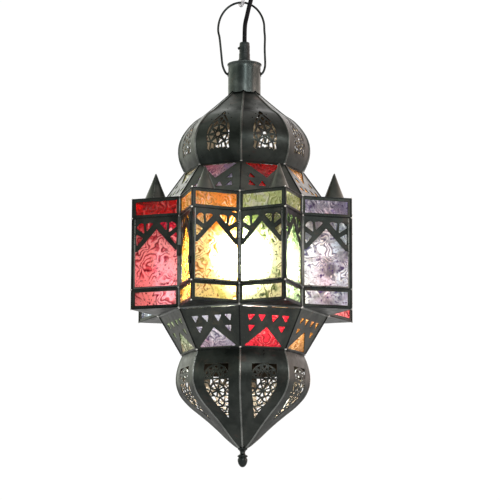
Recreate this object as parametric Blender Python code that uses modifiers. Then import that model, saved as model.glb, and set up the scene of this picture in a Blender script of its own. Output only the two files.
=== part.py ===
"""Moroccan star lantern: a pierced sheet-metal pendant with coloured glass.

Frame: metres, +Z up.  The origin is the centre of the ceiling rose's flat top
face, and the lantern hangs down -Z.  Angles in plan are counted from -Y (the
front) towards +X.  The body is an eight-pointed star: recesses stand at 0, 45,
90 ... degrees and star points half way between them.

Pieces that move:
  lantern_swing  the whole lantern turns in its bail's eyes, about X
  door_hinge     one glazed panel opens on a wire hinge, about Z
  bulb_axis      the bulb screws in its holder, about Z
"""
import math

import bmesh
import bpy
from mathutils import Matrix, Vector

MM = 0.001
GAP = 0.3          # clearance that touching pieces keep, mm

# ------------------------------------------------------------------
# Driving dimensions, in millimetres
# ------------------------------------------------------------------
SIDES = 8
STEP = 360.0 / SIDES
SHEET = 0.9                      # sheet metal thickness
GLASS = 1.6                      # pane thickness
PANE_DEPTH = SHEET + GAP         # outer face of a pane behind its frame

# star body
R_RECESS = 114.5
R_POINT = 158.0
Z_STAR_TOP = -327.9
Z_SEAM_UP = -354.4
Z_SEAM_LOW = -450.5
Z_STAR_BOTTOM = -477.0

# friezes (octagonal frustums)
UP_FRIEZE = ((80.0, -279.9), (113.9, -327.1))
LOW_FRIEZE = ((113.5, -477.9), (82.8, -530.0))

# domes: corner radius and height, top to bottom
UPPER_DOME = ((19.2, -170.6), (31.9, -182.0), (42.8, -191.2), (54.9, -201.2),
              (67.4, -209.8), (77.7, -220.9), (85.2, -233.0), (88.8, -245.6),
              (88.4, -258.6), (85.3, -269.4), (80.7, -279.5))
LOWER_DOME = ((81.2, -530.7), (86.3, -543.3), (89.6, -558.0), (89.0, -572.0),
              (83.4, -585.6), (71.7, -598.9), (57.6, -610.4), (44.7, -621.0),
              (33.2, -631.4), (21.3, -642.9), (10.2, -652.3), (6.0, -654.6))

# spires on the roof plates, bay by bay: distance from the axis, base
# radius and height; they are rolled and set by hand, so no two agree
SPIRES = ((125.5, 15.3, 36.8), (120.0, 14.0, 34.0), (135.5, 13.7, 34.4),
          (133.5, 13.7, 35.4), (130.0, 13.7, 34.0), (129.0, 13.9, 34.6),
          (131.0, 13.7, 34.2), (130.0, 13.8, 34.8))

# hanging gear
PIVOT_Z = -143.0
BAIL_WIRE = 1.5                  # radius
BAIL_APEX = (-4.6, -41.2)        # x, z of the wire's centre
BAIL_ARCH = (31.8, 37.6)         # half width and height of the arch
COLLAR_R = 22.3
COLLAR_TOP = -128.3
COLLAR_BOTTOM = -172.2
CORD_R = 3.0
ROSE_R = 40.0
ROSE_H = 24.0

# door: in the panel left of the front, between recess -45 and point -22.5
DOOR_LEFT, DOOR_RIGHT = 4.0, 63.6
DOOR_TOP, DOOR_BOTTOM = Z_SEAM_UP - 1.2, Z_SEAM_LOW + 1.2
HINGE_U, HINGE_N = 65.6, 2.3
HINGE_PIN_R = 0.9

# ------------------------------------------------------------------
# Scene
# ------------------------------------------------------------------
for old in list(bpy.data.objects):
    bpy.data.objects.remove(old, do_unlink=True)

PARTS = bpy.data.collections.new("moroccan_lantern")
CUTTERS = bpy.data.collections.new("cutters")
bpy.context.scene.collection.children.link(PARTS)
bpy.context.scene.collection.children.link(CUTTERS)


def material(name, color, roughness, metallic=0.0, alpha=1.0, transmission=0.0,
             emission=0.0):
    mat = bpy.data.materials.new(name)
    mat.use_nodes = True
    bsdf = mat.node_tree.nodes["Principled BSDF"]
    bsdf.inputs["Base Color"].default_value = (*color, 1.0)
    bsdf.inputs["Roughness"].default_value = roughness
    bsdf.inputs["Metallic"].default_value = metallic
    bsdf.inputs["Alpha"].default_value = alpha
    bsdf.inputs["Transmission Weight"].default_value = transmission
    if emission:
        bsdf.inputs["Emission Color"].default_value = (*color, 1.0)
        bsdf.inputs["Emission Strength"].default_value = emission
    mat.diffuse_color = (*color, alpha)
    return mat


IRON = material("aged_iron", (0.050, 0.058, 0.055), 0.42, 0.85)
WIRE = material("black_wire", (0.012, 0.014, 0.013), 0.45, 0.6)
BLACK = material("black_plastic", (0.012, 0.012, 0.012), 0.5)
CABLE = material("cord_sheath", (0.008, 0.008, 0.008), 0.4)
CLEAR = material("clear_plastic", (0.82, 0.84, 0.84), 0.12, alpha=0.45,
                 transmission=0.8)
RED = material("red_glass", (0.75, 0.02, 0.04), 0.15, transmission=0.8)
ORANGE = material("orange_glass", (0.95, 0.36, 0.04), 0.15, transmission=0.8)
GREEN = material("green_glass", (0.55, 0.66, 0.18), 0.15, transmission=0.8)
PURPLE = material("purple_glass", (0.50, 0.42, 0.62), 0.15, transmission=0.8)
BRASS = material("bulb_cap", (0.62, 0.60, 0.55), 0.3, 1.0)
LAMP = material("lamp_glass", (1.0, 0.86, 0.60), 0.3, emission=4.0)
STEEL = material("threaded_steel", (0.55, 0.54, 0.50), 0.35, 1.0)

# colours of the eight bays and of the eight frieze panels, by plan angle
BAY_GLASS = {-67.5: RED, -22.5: ORANGE, 22.5: GREEN, 67.5: PURPLE,
             112.5: RED, 157.5: ORANGE, 202.5: GREEN, 247.5: PURPLE}
FRIEZE_GLASS = {-67.5: GREEN, -22.5: PURPLE, 22.5: RED, 67.5: ORANGE,
                112.5: GREEN, 157.5: PURPLE, 202.5: RED, 247.5: ORANGE}
BAYS = sorted(BAY_GLASS)

# ------------------------------------------------------------------
# Empties on the joint axes
# ------------------------------------------------------------------


def empty(name, place, parent=None):
    ob = bpy.data.objects.new(name, None)
    ob.empty_display_size = 0.02
    PARTS.objects.link(ob)
    ob.location = place
    if parent is not None:
        ob.parent = parent
        ob.location = Vector(place) - AT[parent.name]
    AT[name] = Vector(place)
    return ob


AT = {}


def plan(radius, angle, z=0.0):
    """A point at a plan angle from the front, in metres from millimetres."""
    a = math.radians(angle)
    return Vector((radius * math.sin(a), -radius * math.cos(a), z)) * MM


def panel_frame(left, right):
    """Matrix of a vertical panel: u from left to right as seen from outside,
    v up, n outwards; its origin is the left corner at height 0."""
    u = (right - left).normalized()
    v = Vector((0, 0, 1))
    n = u.cross(v)
    m = Matrix((u, v, n)).transposed().to_4x4()
    m.translation = left
    return m


DOOR_FRAME = panel_frame(plan(R_RECESS, -45), plan(R_POINT, -22.5))
DOOR_AXIS = DOOR_FRAME @ Vector((HINGE_U * MM, 0, HINGE_N * MM))

LANTERN = empty("lantern_swing", (0, 0, PIVOT_Z * MM))
DOOR = empty("door_hinge", (DOOR_AXIS.x, DOOR_AXIS.y, -0.4025), LANTERN)
BULB = empty("bulb_axis", (0, 0, -0.342), LANTERN)

# ------------------------------------------------------------------
# Helpers
# ------------------------------------------------------------------


def place(ob, coll, mat=None, parent=None):
    """Link an object whose mesh is in world coordinates, keep it there."""
    coll.objects.link(ob)
    if mat is not None:
        ob.data.materials.clear()
        ob.data.materials.append(mat)
    if parent is not None:
        ob.parent = parent
        ob.matrix_parent_inverse = Matrix.Translation(AT[parent.name]).inverted()
    if coll is CUTTERS:
        ob.hide_render = True
        ob.display_type = "WIRE"
    return ob


def turned(name, profile, steps, mat=None, parent=None, coll=None, closed=False,
           at=(0.0, 0.0), smooth=None, thickness=None):
    """A profile (radius, height in mm, down its outer side) turned about Z."""
    coll = coll or PARTS
    me = bpy.data.meshes.new(name)
    pts = [(r * MM, 0.0, z * MM) for r, z in profile]
    edges = [(i, i + 1) for i in range(len(pts) - 1)]
    if closed:
        edges.append((len(pts) - 1, 0))
    me.from_pydata(pts, edges, [])
    ob = bpy.data.objects.new(name, me)
    place(ob, coll, mat)
    screw = ob.modifiers.new("turn", "SCREW")
    screw.axis = "Z"
    screw.angle = math.radians(360)
    screw.steps = screw.render_steps = steps
    screw.use_merge_vertices = True
    screw.merge_threshold = 0.00001
    screw.use_smooth_shade = smooth is not None
    ob.location = (at[0] * MM, at[1] * MM, 0)
    if parent is not None:
        ob.parent = parent
        ob.matrix_parent_inverse = Matrix.Translation(AT[parent.name]).inverted()
    if thickness is not None:
        shell(ob, thickness)
    return ob


def shell(ob, thickness):
    mod = ob.modifiers.new("sheet", "SOLIDIFY")
    mod.thickness = thickness * MM
    mod.offset = -1.0
    mod.use_even_offset = True
    mod.use_quality_normals = True
    mod.use_rim = True
    return mod


def cut(ob, cutter):
    mod = ob.modifiers.new("cut_" + cutter.name, "BOOLEAN")
    mod.operation = "DIFFERENCE"
    mod.solver = "EXACT"
    mod.object = cutter
    return mod


def baked(ob):
    """The evaluated mesh of a curve object, with its caps welded."""
    bpy.context.view_layer.update()
    deps = bpy.context.evaluated_depsgraph_get()
    me = bpy.data.meshes.new_from_object(ob.evaluated_get(deps))
    bm = bmesh.new()
    bm.from_mesh(me)
    bmesh.ops.remove_doubles(bm, verts=bm.verts, dist=1e-7)
    bmesh.ops.recalc_face_normals(bm, faces=bm.faces)
    bm.to_mesh(me)
    bm.free()
    return me


def plate_mesh(name, outlines, low, high):
    """Closed prisms over flat outlines (mm) between two heights along n."""
    cu = bpy.data.curves.new(name, "CURVE")
    cu.dimensions = "2D"
    cu.fill_mode = "BOTH"
    cu.extrude = (high - low) / 2 * MM
    for pts in outlines:
        sp = cu.splines.new("POLY")
        sp.points.add(len(pts) - 1)
        for p, (x, y) in zip(sp.points, pts):
            p.co = (x * MM, y * MM, 0.0, 1.0)
        sp.use_cyclic_u = True
    ob = bpy.data.objects.new(name, cu)
    PARTS.objects.link(ob)
    me = baked(ob)
    bpy.data.objects.remove(ob)
    me.transform(Matrix.Translation((0, 0, (high + low) / 2 * MM)))
    me.name = name
    return me


def joined(name, pieces, coll, mat=None, parent=None):
    """One object from (mesh, matrix) pairs, in world coordinates."""
    bm = bmesh.new()
    for me, matrix in pieces:
        copy = me.copy()
        copy.transform(matrix)
        bm.from_mesh(copy)
        bpy.data.meshes.remove(copy)
    out = bpy.data.meshes.new(name)
    bm.to_mesh(out)
    bm.free()
    ob = bpy.data.objects.new(name, out)
    return place(ob, coll, mat, parent)


def catmull(points, per_span):
    """A smooth curve through the given route points."""
    pts = [Vector(p) for p in points]
    pts = [2 * pts[0] - pts[1]] + pts + [2 * pts[-1] - pts[-2]]
    out = []
    for a, b, c, d in zip(pts, pts[1:], pts[2:], pts[3:]):
        for k in range(per_span):
            t = k / per_span
            out.append(0.5 * (2 * b + (c - a) * t + (2 * a - 5 * b + 4 * c - d) * t ** 2
                              + (3 * b - a - 3 * c + d) * t ** 3))
    out.append(pts[-2])
    return out


def spaced(points, distance):
    """Points at an even spacing along a polyline, ends kept."""
    run = [0.0]
    for a, b in zip(points, points[1:]):
        run.append(run[-1] + (b - a).length)
    count = max(2, round(run[-1] / distance))
    out, k = [], 0
    for i in range(count + 1):
        s = run[-1] * i / count
        while k < len(run) - 2 and run[k + 1] < s:
            k += 1
        t = (s - run[k]) / max(run[k + 1] - run[k], 1e-9)
        out.append(points[k].lerp(points[k + 1], min(max(t, 0), 1)))
    return out


def wire(name, points, radius, mat, parent=None, resolution=2):
    cu = bpy.data.curves.new(name, "CURVE")
    cu.dimensions = "3D"
    cu.bevel_depth = radius * MM
    cu.bevel_resolution = resolution
    cu.use_fill_caps = True
    sp = cu.splines.new("POLY")
    sp.points.add(len(points) - 1)
    for p, co in zip(sp.points, points):
        p.co = (co[0] * MM, co[1] * MM, co[2] * MM, 1.0)
    ob = bpy.data.objects.new(name, cu)
    return place(ob, PARTS, mat, parent)


# ------------------------------------------------------------------
# Outlines of the piercing, in millimetres
# ------------------------------------------------------------------
FACE_W = (plan(R_POINT, 22.5) - plan(R_RECESS, 0)).length / MM


def strip_opening(low, high):
    return [(4.4, low), (FACE_W - 5.2, low), (FACE_W - 5.2, high), (4.4, high)]


def arch_opening(centre, half, seam, bottom):
    """Glazed opening with a straight-sided pointed head."""
    return [(centre - half, bottom), (centre + half, bottom),
            (centre + half, seam - 45.5), (centre + half - 3.0, seam - 45.5),
            (centre, seam - 16.3),
            (centre - half + 3.0, seam - 45.5), (centre - half, seam - 45.5)]


def spandrel_holes(centre, seam, spread=1.0):
    """Three petals in each corner above the pointed head."""
    petals = [
        [(4.3, 8.0), (15.2, 8.0), (14.0, 18.6)],
        [(18.8, 7.9), (22.6, 7.9), (28.2, 13.2), (17.7, 21.2)],
        [(28.6, 22.0), (28.0, 37.0), (19.6, 27.4)],
    ]
    out = []
    for pts in petals:
        out.append([(centre + x * spread, seam - y) for x, y in reversed(pts)])
        out.append([(centre - x * spread, seam - y) for x, y in pts])
    return out


def frieze_holes(length, narrow, wide):
    """Openings of a frieze panel; q runs from its narrow edge (0) to its wide
    edge, x is counted from the middle."""
    k = length / 60.5
    base, apex = 2.6 * k, 30.3 * k
    half = narrow - 5.0
    out = [[(-half, base), (half, base), (0.0, apex)]]
    for s in (-1, 1):
        for x in (9.4, 23.8):
            xc, q0, q1 = s * x, 37.6 * k, 47.4 * k
            lean = 1.6 * (1 if x > 15 else -1) * s
            tri = [(xc - 4.9, q1), (xc + lean, q0), (xc + 4.9, q1)]
            out.append(tri)
        xc, q0, q1 = s * 21.0, 22.6 * k, 31.8 * k
        out.append([(xc - 4.8, q1), (xc + 1.2 * s, q0), (xc + 4.8, q1)])
    return out


def rosette(cu, cs, inner, outer, count, phase, rib):
    """Kites round a centre; (u, s) with s down the gore."""
    out = []
    for k in range(count):
        a = phase + 2 * math.pi * k / count
        h0 = math.pi / count - rib / 2 / inner
        h1 = math.pi / count - rib / 2 / outer
        pts = [(inner, a - h0), (outer * 0.93, a - h1), (outer, a),
               (outer * 0.93, a + h1), (inner, a + h0)]
        out.append([(cu + r * math.sin(t), cs - r * math.cos(t)) for r, t in pts])
    return out


def disc(cu, cs, radius, count, turn=0.0):
    return [(cu + radius * math.sin(turn + 2 * math.pi * k / count),
             cs - radius * math.cos(turn + 2 * math.pi * k / count))
            for k in range(count)]


def upper_lace():
    holes = [disc(0, 88, 4.2, 8, math.pi / 8)]
    holes += rosette(0, 88, 7.2, 14.2, 6, 0.0, 2.8)
    holes.append([(0, 56.5), (4.6, 64.0), (0, 70.0), (-4.6, 64.0)])
    return holes


def lower_lace():
    holes = rosette(0, 62, 4.2, 11.8, 6, 0.0, 2.6)
    holes.append([(-4.6, 42.0), (4.6, 42.0), (3.6, 46.6), (-3.6, 46.6)])
    holes.append([(0, 76.6), (4.6, 81.0), (0, 86.0), (-4.6, 81.0)])
    holes.append([(-15.8, 24.0), (-9.4, 24.0), (-15.8, 31.0)])
    holes.append([(15.8, 31.0), (9.4, 24.0), (15.8, 24.0)])
    return holes


def gore_point(profile, s):
    """Middle line of a gore at arc length s (mm): radius, height, slope."""
    k = math.cos(math.pi / SIDES)
    line = [(r * k, z) for r, z in profile]
    for (r0, z0), (r1, z1) in zip(line, line[1:]):
        d = math.hypot(r1 - r0, z1 - z0)
        if s <= d or (r1, z1) == line[-1]:
            t = s / d
            return (r0 + (r1 - r0) * t, z0 + (z1 - z0) * t,
                    ((r1 - r0) / d, (z1 - z0) / d))
        s -= d


def gore_matrix(profile, angle, s):
    """Frame on a gore: u along its width, v up the slope, n outwards."""
    r, z, (dr, dz) = gore_point(profile, s)
    a = math.radians(angle)
    out = Vector((math.sin(a), -math.cos(a), 0))
    u = Vector((math.cos(a), math.sin(a), 0))
    v = -(out * dr + Vector((0, 0, 1)) * dz)
    m = Matrix((u, v, u.cross(v))).transposed().to_4x4()
    m.translation = (out * r + Vector((0, 0, z))) * MM
    return m


def lace_cutter(name, profile, holes, reach=5.0):
    pieces = []
    for i, pts in enumerate(holes):
        cs = sum(p[1] for p in pts) / len(pts)
        local = [(x, cs - s) for x, s in pts]
        me = plate_mesh("%s_%d" % (name, i), [local], -reach, reach)
        for k in range(SIDES):
            pieces.append((me, gore_matrix(profile, (k + 0.5) * STEP, cs)))
    ob = joined(name, pieces, CUTTERS)
    for i in range(len(holes)):
        bpy.data.meshes.remove(bpy.data.meshes["%s_%d" % (name, i)])
    return ob


# ------------------------------------------------------------------
# Hanger: ceiling rose, clear hook, bail, cord
# ------------------------------------------------------------------
HOOK_TOP = (-0.7, -6.0)
CORD_HOLE = (12.0, -10.5)

rose = turned("ceiling_rose",
              [(0, 0), (ROSE_R - 1.5, 0), (ROSE_R, -1.5), (ROSE_R, -9),
               (ROSE_R - 3, -16), (ROSE_R - 9, -21.5), (ROSE_R - 16, -ROSE_H),
               (0, -ROSE_H)], 28, WIRE, smooth=True)
rose_hollow = turned("rose_hollow",
                     [(0, -3), (ROSE_R - 2.5, -3), (ROSE_R - 2.5, -9),
                      (ROSE_R - 5.2, -15), (ROSE_R - 10.5, -19.8),
                      (ROSE_R - 16.5, -ROSE_H + 2), (0, -ROSE_H + 2)], 16,
                     coll=CUTTERS)
cord_way = turned("cord_way", [(0, -10), (CORD_R + 0.5, -10),
                               (CORD_R + 0.5, -ROSE_H - 4), (0, -ROSE_H - 4)],
                  12, coll=CUTTERS, at=CORD_HOLE)
cut(rose, rose_hollow)
cut(rose, cord_way)


def hook_route():
    """Down from the rose, under the bail's wire, and up behind it."""
    ax, az = BAIL_APEX
    h = Vector((-0.46, 0.888, 0.0))
    centre = Vector((ax, 0, az))
    wide, deep = 5.0, BAIL_WIRE + 2.4 + GAP
    pts = [Vector((HOOK_TOP[0], HOOK_TOP[1], -ROSE_H - GAP)),
           Vector((HOOK_TOP[0] - 0.4, HOOK_TOP[1] + 0.2, -29.5)),
           Vector((HOOK_TOP[0] - 0.9, HOOK_TOP[1] + 0.8, -34.8))]
    for k in range(0, 9):
        a = math.radians(-8 + 188 * k / 8)
        pts.append(centre - h * wide * math.cos(a) - Vector((0, 0, 1)) * deep * math.sin(a))
    pts.append(pts[-1] + Vector((-0.3, 0.6, 2.2)))
    return spaced(catmull(pts, 4), 2.4)


wire("ceiling_hook", hook_route(), 2.4, CLEAR)


def bail_route():
    """From inside the collar's left eye, over the arch, to the right eye."""
    ax, az = BAIL_APEX
    cz = az - BAIL_ARCH[1]
    left = [(-17.0, PIVOT_Z), (-19.6, PIVOT_Z), (-22.4, PIVOT_Z + 0.1),
            (-25.6, PIVOT_Z + 2.5), (-28.2, PIVOT_Z + 7.6), (-30.4, -127.9),
            (-32.2, -110.8), (-34.4, -91.0)]
    right = [(27.9, -91.0), (27.7, -108.0), (28.4, -127.9),
             (27.4, PIVOT_Z + 7.6), (25.2, PIVOT_Z + 2.5),
             (22.4, PIVOT_Z + 0.1), (19.6, PIVOT_Z), (17.0, PIVOT_Z)]
    arch = []
    for k in range(0, 13):
        a = math.radians(184 - 188 * k / 12)
        arch.append((ax + BAIL_ARCH[0] * math.cos(a), cz + BAIL_ARCH[1] * math.sin(a)))
    route = [Vector((x, 0, z)) for x, z in left + arch + right]
    return spaced(catmull(route, 5), 6.2)


bail_points = bail_route()
wire("bail_handle", bail_points, BAIL_WIRE, WIRE)


def cord_route():
    """From the grip, up in front of the bail's wire, into the rose."""
    x, y = CORD_HOLE
    pts = [(0.0, 0.0, -97.6), (0.0, -0.1, -90.0), (0.6, -1.6, -73.5),
           (3.6, -5.2, -60.5), (6.4, -7.8, -49.0), (8.8, -9.4, -40.5),
           (11.4, -10.3, -30.0), (x, y, -22.0), (x, y, -16.0)]
    return spaced(catmull(pts, 6), 6.0)


wire("cord", cord_route(), CORD_R, CABLE, resolution=3)

# ------------------------------------------------------------------
# Lantern head: grip, collar, lamp tube and holder
# ------------------------------------------------------------------
turned("cord_grip",
       [(0, -97.9), (6.0, -97.9), (7.0, -98.9), (7.2, -113.0), (7.6, -113.6),
        (7.6, -121.4), (8.7, -122.4), (8.7, -128.0), (5.4, -128.0),
        (5.4, -119.5), (0, -119.5)], 16, BLACK, LANTERN, smooth=True)

collar = turned("collar",
                [(5.4, COLLAR_TOP), (COLLAR_R, COLLAR_TOP),
                 (COLLAR_R + 1.3, COLLAR_TOP - 0.7), (COLLAR_R + 1.3, COLLAR_TOP - 2.6),
                 (COLLAR_R, COLLAR_TOP - 3.4), (COLLAR_R, COLLAR_BOTTOM),
                 (COLLAR_R - 1.2, COLLAR_BOTTOM), (COLLAR_R - 1.2, COLLAR_TOP - 1.3),
                 (5.4, COLLAR_TOP - 1.3)], 32, IRON, LANTERN, closed=True,
                smooth=True)
eye = bpy.data.meshes.new("eye")
bm = bmesh.new()
bmesh.ops.create_cone(bm, cap_ends=True, segments=12, radius1=0.0020,
                      radius2=0.0020, depth=0.060,
                      matrix=Matrix.Translation((0, 0, PIVOT_Z * MM))
                      @ Matrix.Rotation(math.radians(90), 4, "Y"))
bm.to_mesh(eye)
bm.free()
eyes = place(bpy.data.objects.new("bail_eyes", eye), CUTTERS)
cut(collar, eyes)

turned("lamp_tube", [(3.6, -119.8), (5.0, -119.8), (5.0, -306.0), (3.6, -306.0)],
       16, STEEL, LANTERN, closed=True, smooth=True)

turned("lamp_holder",
       [(5.4, -300.0), (13.0, -300.0), (19.0, -306.5), (19.0, -330.0),
        (20.8, -333.0), (20.8, -347.5), (15.0, -347.5), (15.0, -312.5),
        (5.4, -312.5)], 20, BLACK, LANTERN, closed=True, smooth=True)

# bulb: screwed cap and pear-shaped glass, open at its neck
turned("bulb_cap",
       [(0, -314.2), (4.5, -314.8), (9.5, -317.4), (12.6, -319.6),
        (12.6, -340.0), (13.4, -343.6), (0, -343.6)], 20, BRASS, BULB,
       smooth=True)
BULB_PROFILE = ((12.6, -343.9), (13.8, -349.5), (17.4, -358.5), (22.6, -368.5),
                (27.2, -379.0), (29.7, -390.5), (29.6, -401.5), (26.0, -412.6),
                (18.4, -421.0), (9.6, -425.8), (0.0, -427.6))
turned("bulb_glass", BULB_PROFILE, 16, LAMP, BULB, smooth=True, thickness=1.0)

# ------------------------------------------------------------------
# Domes
# ------------------------------------------------------------------
upper_dome = turned("upper_dome", UPPER_DOME, SIDES, IRON, LANTERN, thickness=SHEET)
cut(upper_dome, lace_cutter("upper_lace", UPPER_DOME, upper_lace()))
lower_dome = turned("lower_dome", LOWER_DOME, SIDES, IRON, LANTERN, thickness=SHEET)
cut(lower_dome, lace_cutter("lower_lace", LOWER_DOME, lower_lace()))

turned("bottom_finial",
       [(0, -650.5), (4.4, -650.5), (4.4, -654.9), (6.4, -655.3), (5.6, -657.4),
        (3.6, -659.8), (3.8, -663.0), (6.2, -665.4), (6.8, -667.8),
        (6.0, -670.2), (4.2, -671.8), (4.6, -674.6), (3.6, -677.8),
        (1.6, -680.0), (0, -680.7)], 16, IRON, LANTERN, smooth=True)

# ------------------------------------------------------------------
# Friezes: pierced frustums with a pane behind each panel
# ------------------------------------------------------------------


def frieze_matrix(ring, angle, narrow_end):
    """Frame of a frieze panel; v runs from its narrow edge to its wide one."""
    k = math.cos(math.pi / SIDES)
    a = math.radians(angle)
    out = Vector((math.sin(a), -math.cos(a), 0))
    u = Vector((math.cos(a), math.sin(a), 0))
    narrow, wide = (ring if narrow_end == "top" else ring[::-1])
    p0 = out * narrow[0] * k + Vector((0, 0, narrow[1]))
    p1 = out * wide[0] * k + Vector((0, 0, wide[1]))
    v = (p1 - p0).normalized()
    n = u.cross(v)
    if n.dot(out) < 0:
        u, n = -u, -n
    m = Matrix((u, v, n)).transposed().to_4x4()
    m.translation = p0 * MM
    return m, (p1 - p0).length


def frieze(name, ring, narrow_end):
    half = math.sin(math.pi / SIDES)
    narrow, wide = (ring if narrow_end == "top" else ring[::-1])
    ob = turned(name + "_frame", ring, SIDES, IRON, LANTERN, thickness=SHEET)
    length = frieze_matrix(ring, 0, narrow_end)[1]
    holes = frieze_holes(length, narrow[0] * half, wide[0] * half)
    me = plate_mesh(name + "_holes", holes, -4, 4)
    items = [(me, frieze_matrix(ring, b, narrow_end)[0]) for b in BAYS]
    cut(ob, joined(name + "_cutter", items, CUTTERS))
    bpy.data.meshes.remove(me)
    d0, d1 = PANE_DEPTH, PANE_DEPTH + GLASS
    side = 2.4
    slope = (wide[0] - narrow[0]) * half / length
    ends = (1.9, length - 1.9)
    outline = [(-(narrow[0] * half + slope * ends[0] - side), ends[0]),
               (narrow[0] * half + slope * ends[0] - side, ends[0]),
               (narrow[0] * half + slope * ends[1] - side, ends[1]),
               (-(narrow[0] * half + slope * ends[1] - side), ends[1])]
    for i, b in enumerate(BAYS):
        pane = plate_mesh("%s_glass_%d" % (name, i + 1), [outline], -d1, -d0)
        pane.transform(frieze_matrix(ring, b, narrow_end)[0])
        place(bpy.data.objects.new("%s_glass_%d" % (name, i + 1), pane), PARTS,
              FRIEZE_GLASS[b], LANTERN)
    return ob


frieze("upper_frieze", UP_FRIEZE, "top")
frieze("lower_frieze", LOW_FRIEZE, "bottom")

# ------------------------------------------------------------------
# Star body: one folded and soldered shell with roof and floor plates
# ------------------------------------------------------------------


def star_shell():
    """Star wall between its roof and floor plates, as an open surface."""
    bm = bmesh.new()
    ring = bmesh.ops.create_circle(bm, cap_ends=False, segments=2 * SIDES,
                                   radius=1.0)["verts"]
    ring.sort(key=lambda v: math.atan2(v.co.x, -v.co.y))
    for k, v in enumerate(ring):
        angle = math.degrees(math.atan2(v.co.x, -v.co.y))
        point = round(angle / (STEP / 2)) % 2 == 1
        v.co = plan(R_POINT if point else R_RECESS, angle, Z_STAR_TOP)
    wall = bmesh.ops.extrude_edge_only(bm, edges=list(bm.edges))["geom"]
    for v in wall:
        if isinstance(v, bmesh.types.BMVert):
            v.co.z = Z_STAR_BOTTOM * MM
    for z in (Z_STAR_TOP, Z_STAR_BOTTOM):
        level = sorted((v for v in bm.verts if abs(v.co.z - z * MM) < 1e-6),
                       key=lambda v: math.atan2(v.co.x, -v.co.y))
        radius = [v.co.xy.length for v in level]
        n = len(level)
        for k in range(n):
            if radius[k] > 0.13:
                bm.faces.new((level[k - 1], level[k], level[(k + 1) % n]))
    bmesh.ops.recalc_face_normals(bm, faces=bm.faces)
    wall_face = next(f for f in bm.faces if abs(f.normal.z) < 0.5)
    if wall_face.normal.dot(wall_face.calc_center_median()) < 0:
        bmesh.ops.reverse_faces(bm, faces=bm.faces)
    me = bpy.data.meshes.new("star_frame")
    bm.to_mesh(me)
    bm.free()
    return me


def star_faces():
    """(bay angle, side, matrix, mirrored) of the sixteen wall panels.

    Outlines are drawn with x from the recess to the star point; a panel to the
    right of its star point is mirrored."""
    for b in BAYS:
        left, point, right = (plan(R_RECESS, b - STEP / 2), plan(R_POINT, b),
                              plan(R_RECESS, b + STEP / 2))
        yield b, "a", panel_frame(left, point), False
        yield b, "b", panel_frame(point, right), True


def mirrored(outlines):
    return [[(FACE_W - x, y) for x, y in reversed(pts)] for pts in outlines]


STRIP_UP = (Z_SEAM_UP + 4.2, Z_STAR_TOP - 4.9)
STRIP_LOW = (Z_STAR_BOTTOM + 4.7, Z_SEAM_LOW - 4.0)
MID = 33.3
panel = ([strip_opening(*STRIP_UP), strip_opening(*STRIP_LOW),
          arch_opening(MID, 30.1, Z_SEAM_UP, Z_SEAM_LOW + 3.2)]
         + spandrel_holes(MID, Z_SEAM_UP))
door_panel = [strip_opening(*STRIP_UP), strip_opening(*STRIP_LOW),
              [(DOOR_LEFT - 0.7, Z_SEAM_LOW + 0.6), (DOOR_RIGHT + 0.7, Z_SEAM_LOW + 0.6),
               (DOOR_RIGHT + 0.7, Z_SEAM_UP - 0.6), (DOOR_LEFT - 0.7, Z_SEAM_UP - 0.6)]]

star_frame = place(bpy.data.objects.new("star_frame", star_shell()), PARTS, IRON,
                   LANTERN)
shell(star_frame, SHEET)
straight = plate_mesh("panel_straight", panel, -3, 3)
turned_round = plate_mesh("panel_mirrored", mirrored(panel), -3, 3)
for_door = plate_mesh("panel_door", door_panel, -3, 3)
openings = []
for b, side, matrix, mirror in star_faces():
    if b == -22.5 and side == "a":
        openings.append((for_door, matrix))
    else:
        openings.append((turned_round if mirror else straight, matrix))
cut(star_frame, joined("star_cutter", openings, CUTTERS))

# panes: one behind each wall panel, two short ones above and below the door
PANE_X = (1.6, FACE_W - 3.9)
d0, d1 = -(PANE_DEPTH + GLASS), -PANE_DEPTH


def pane_outline(low, high):
    return [(PANE_X[0], low), (PANE_X[1], low), (PANE_X[1], high), (PANE_X[0], high)]


FULL = (Z_STAR_BOTTOM + 1.5, Z_STAR_TOP - 1.5)
for i, (b, side, matrix, mirror) in enumerate(star_faces()):
    bay = BAYS.index(b) + 1
    if b == -22.5 and side == "a":
        spans = {"upper": (Z_SEAM_UP + 0.8, FULL[1]), "lower": (FULL[0], Z_SEAM_LOW - 0.8)}
    else:
        spans = {"": FULL}
    for tag, span in spans.items():
        name = "star_glass_%d%s%s" % (bay, side, "_" + tag if tag else "")
        outline = [pane_outline(*span)]
        me = plate_mesh(name, mirrored(outline) if mirror else outline, d0, d1)
        me.transform(matrix)
        place(bpy.data.objects.new(name, me), PARTS, BAY_GLASS[b], LANTERN)

# spires: rolled sheet cones, one on each roof plate
for i, (b, (radius, wide, tall)) in enumerate(zip(BAYS, SPIRES)):
    at = plan(radius, b) / MM
    base, apex = Z_STAR_TOP + GAP, Z_STAR_TOP + GAP + tall
    turned("spire_%d" % (i + 1),
           [(0, apex), (0.9, apex - 0.6), (wide, base),
            (wide - 1.0, base), (0, apex - 3.2)],
           14, IRON, LANTERN, at=(at.x, at.y), smooth=True)

# ------------------------------------------------------------------
# Door: pierced panel with rolled knuckles and a pull tab, its pane, its wire
# ------------------------------------------------------------------
DOOR_MID = (DOOR_LEFT + DOOR_RIGHT) / 2
KNUCKLES = (-380.7, -424.3)

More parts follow.
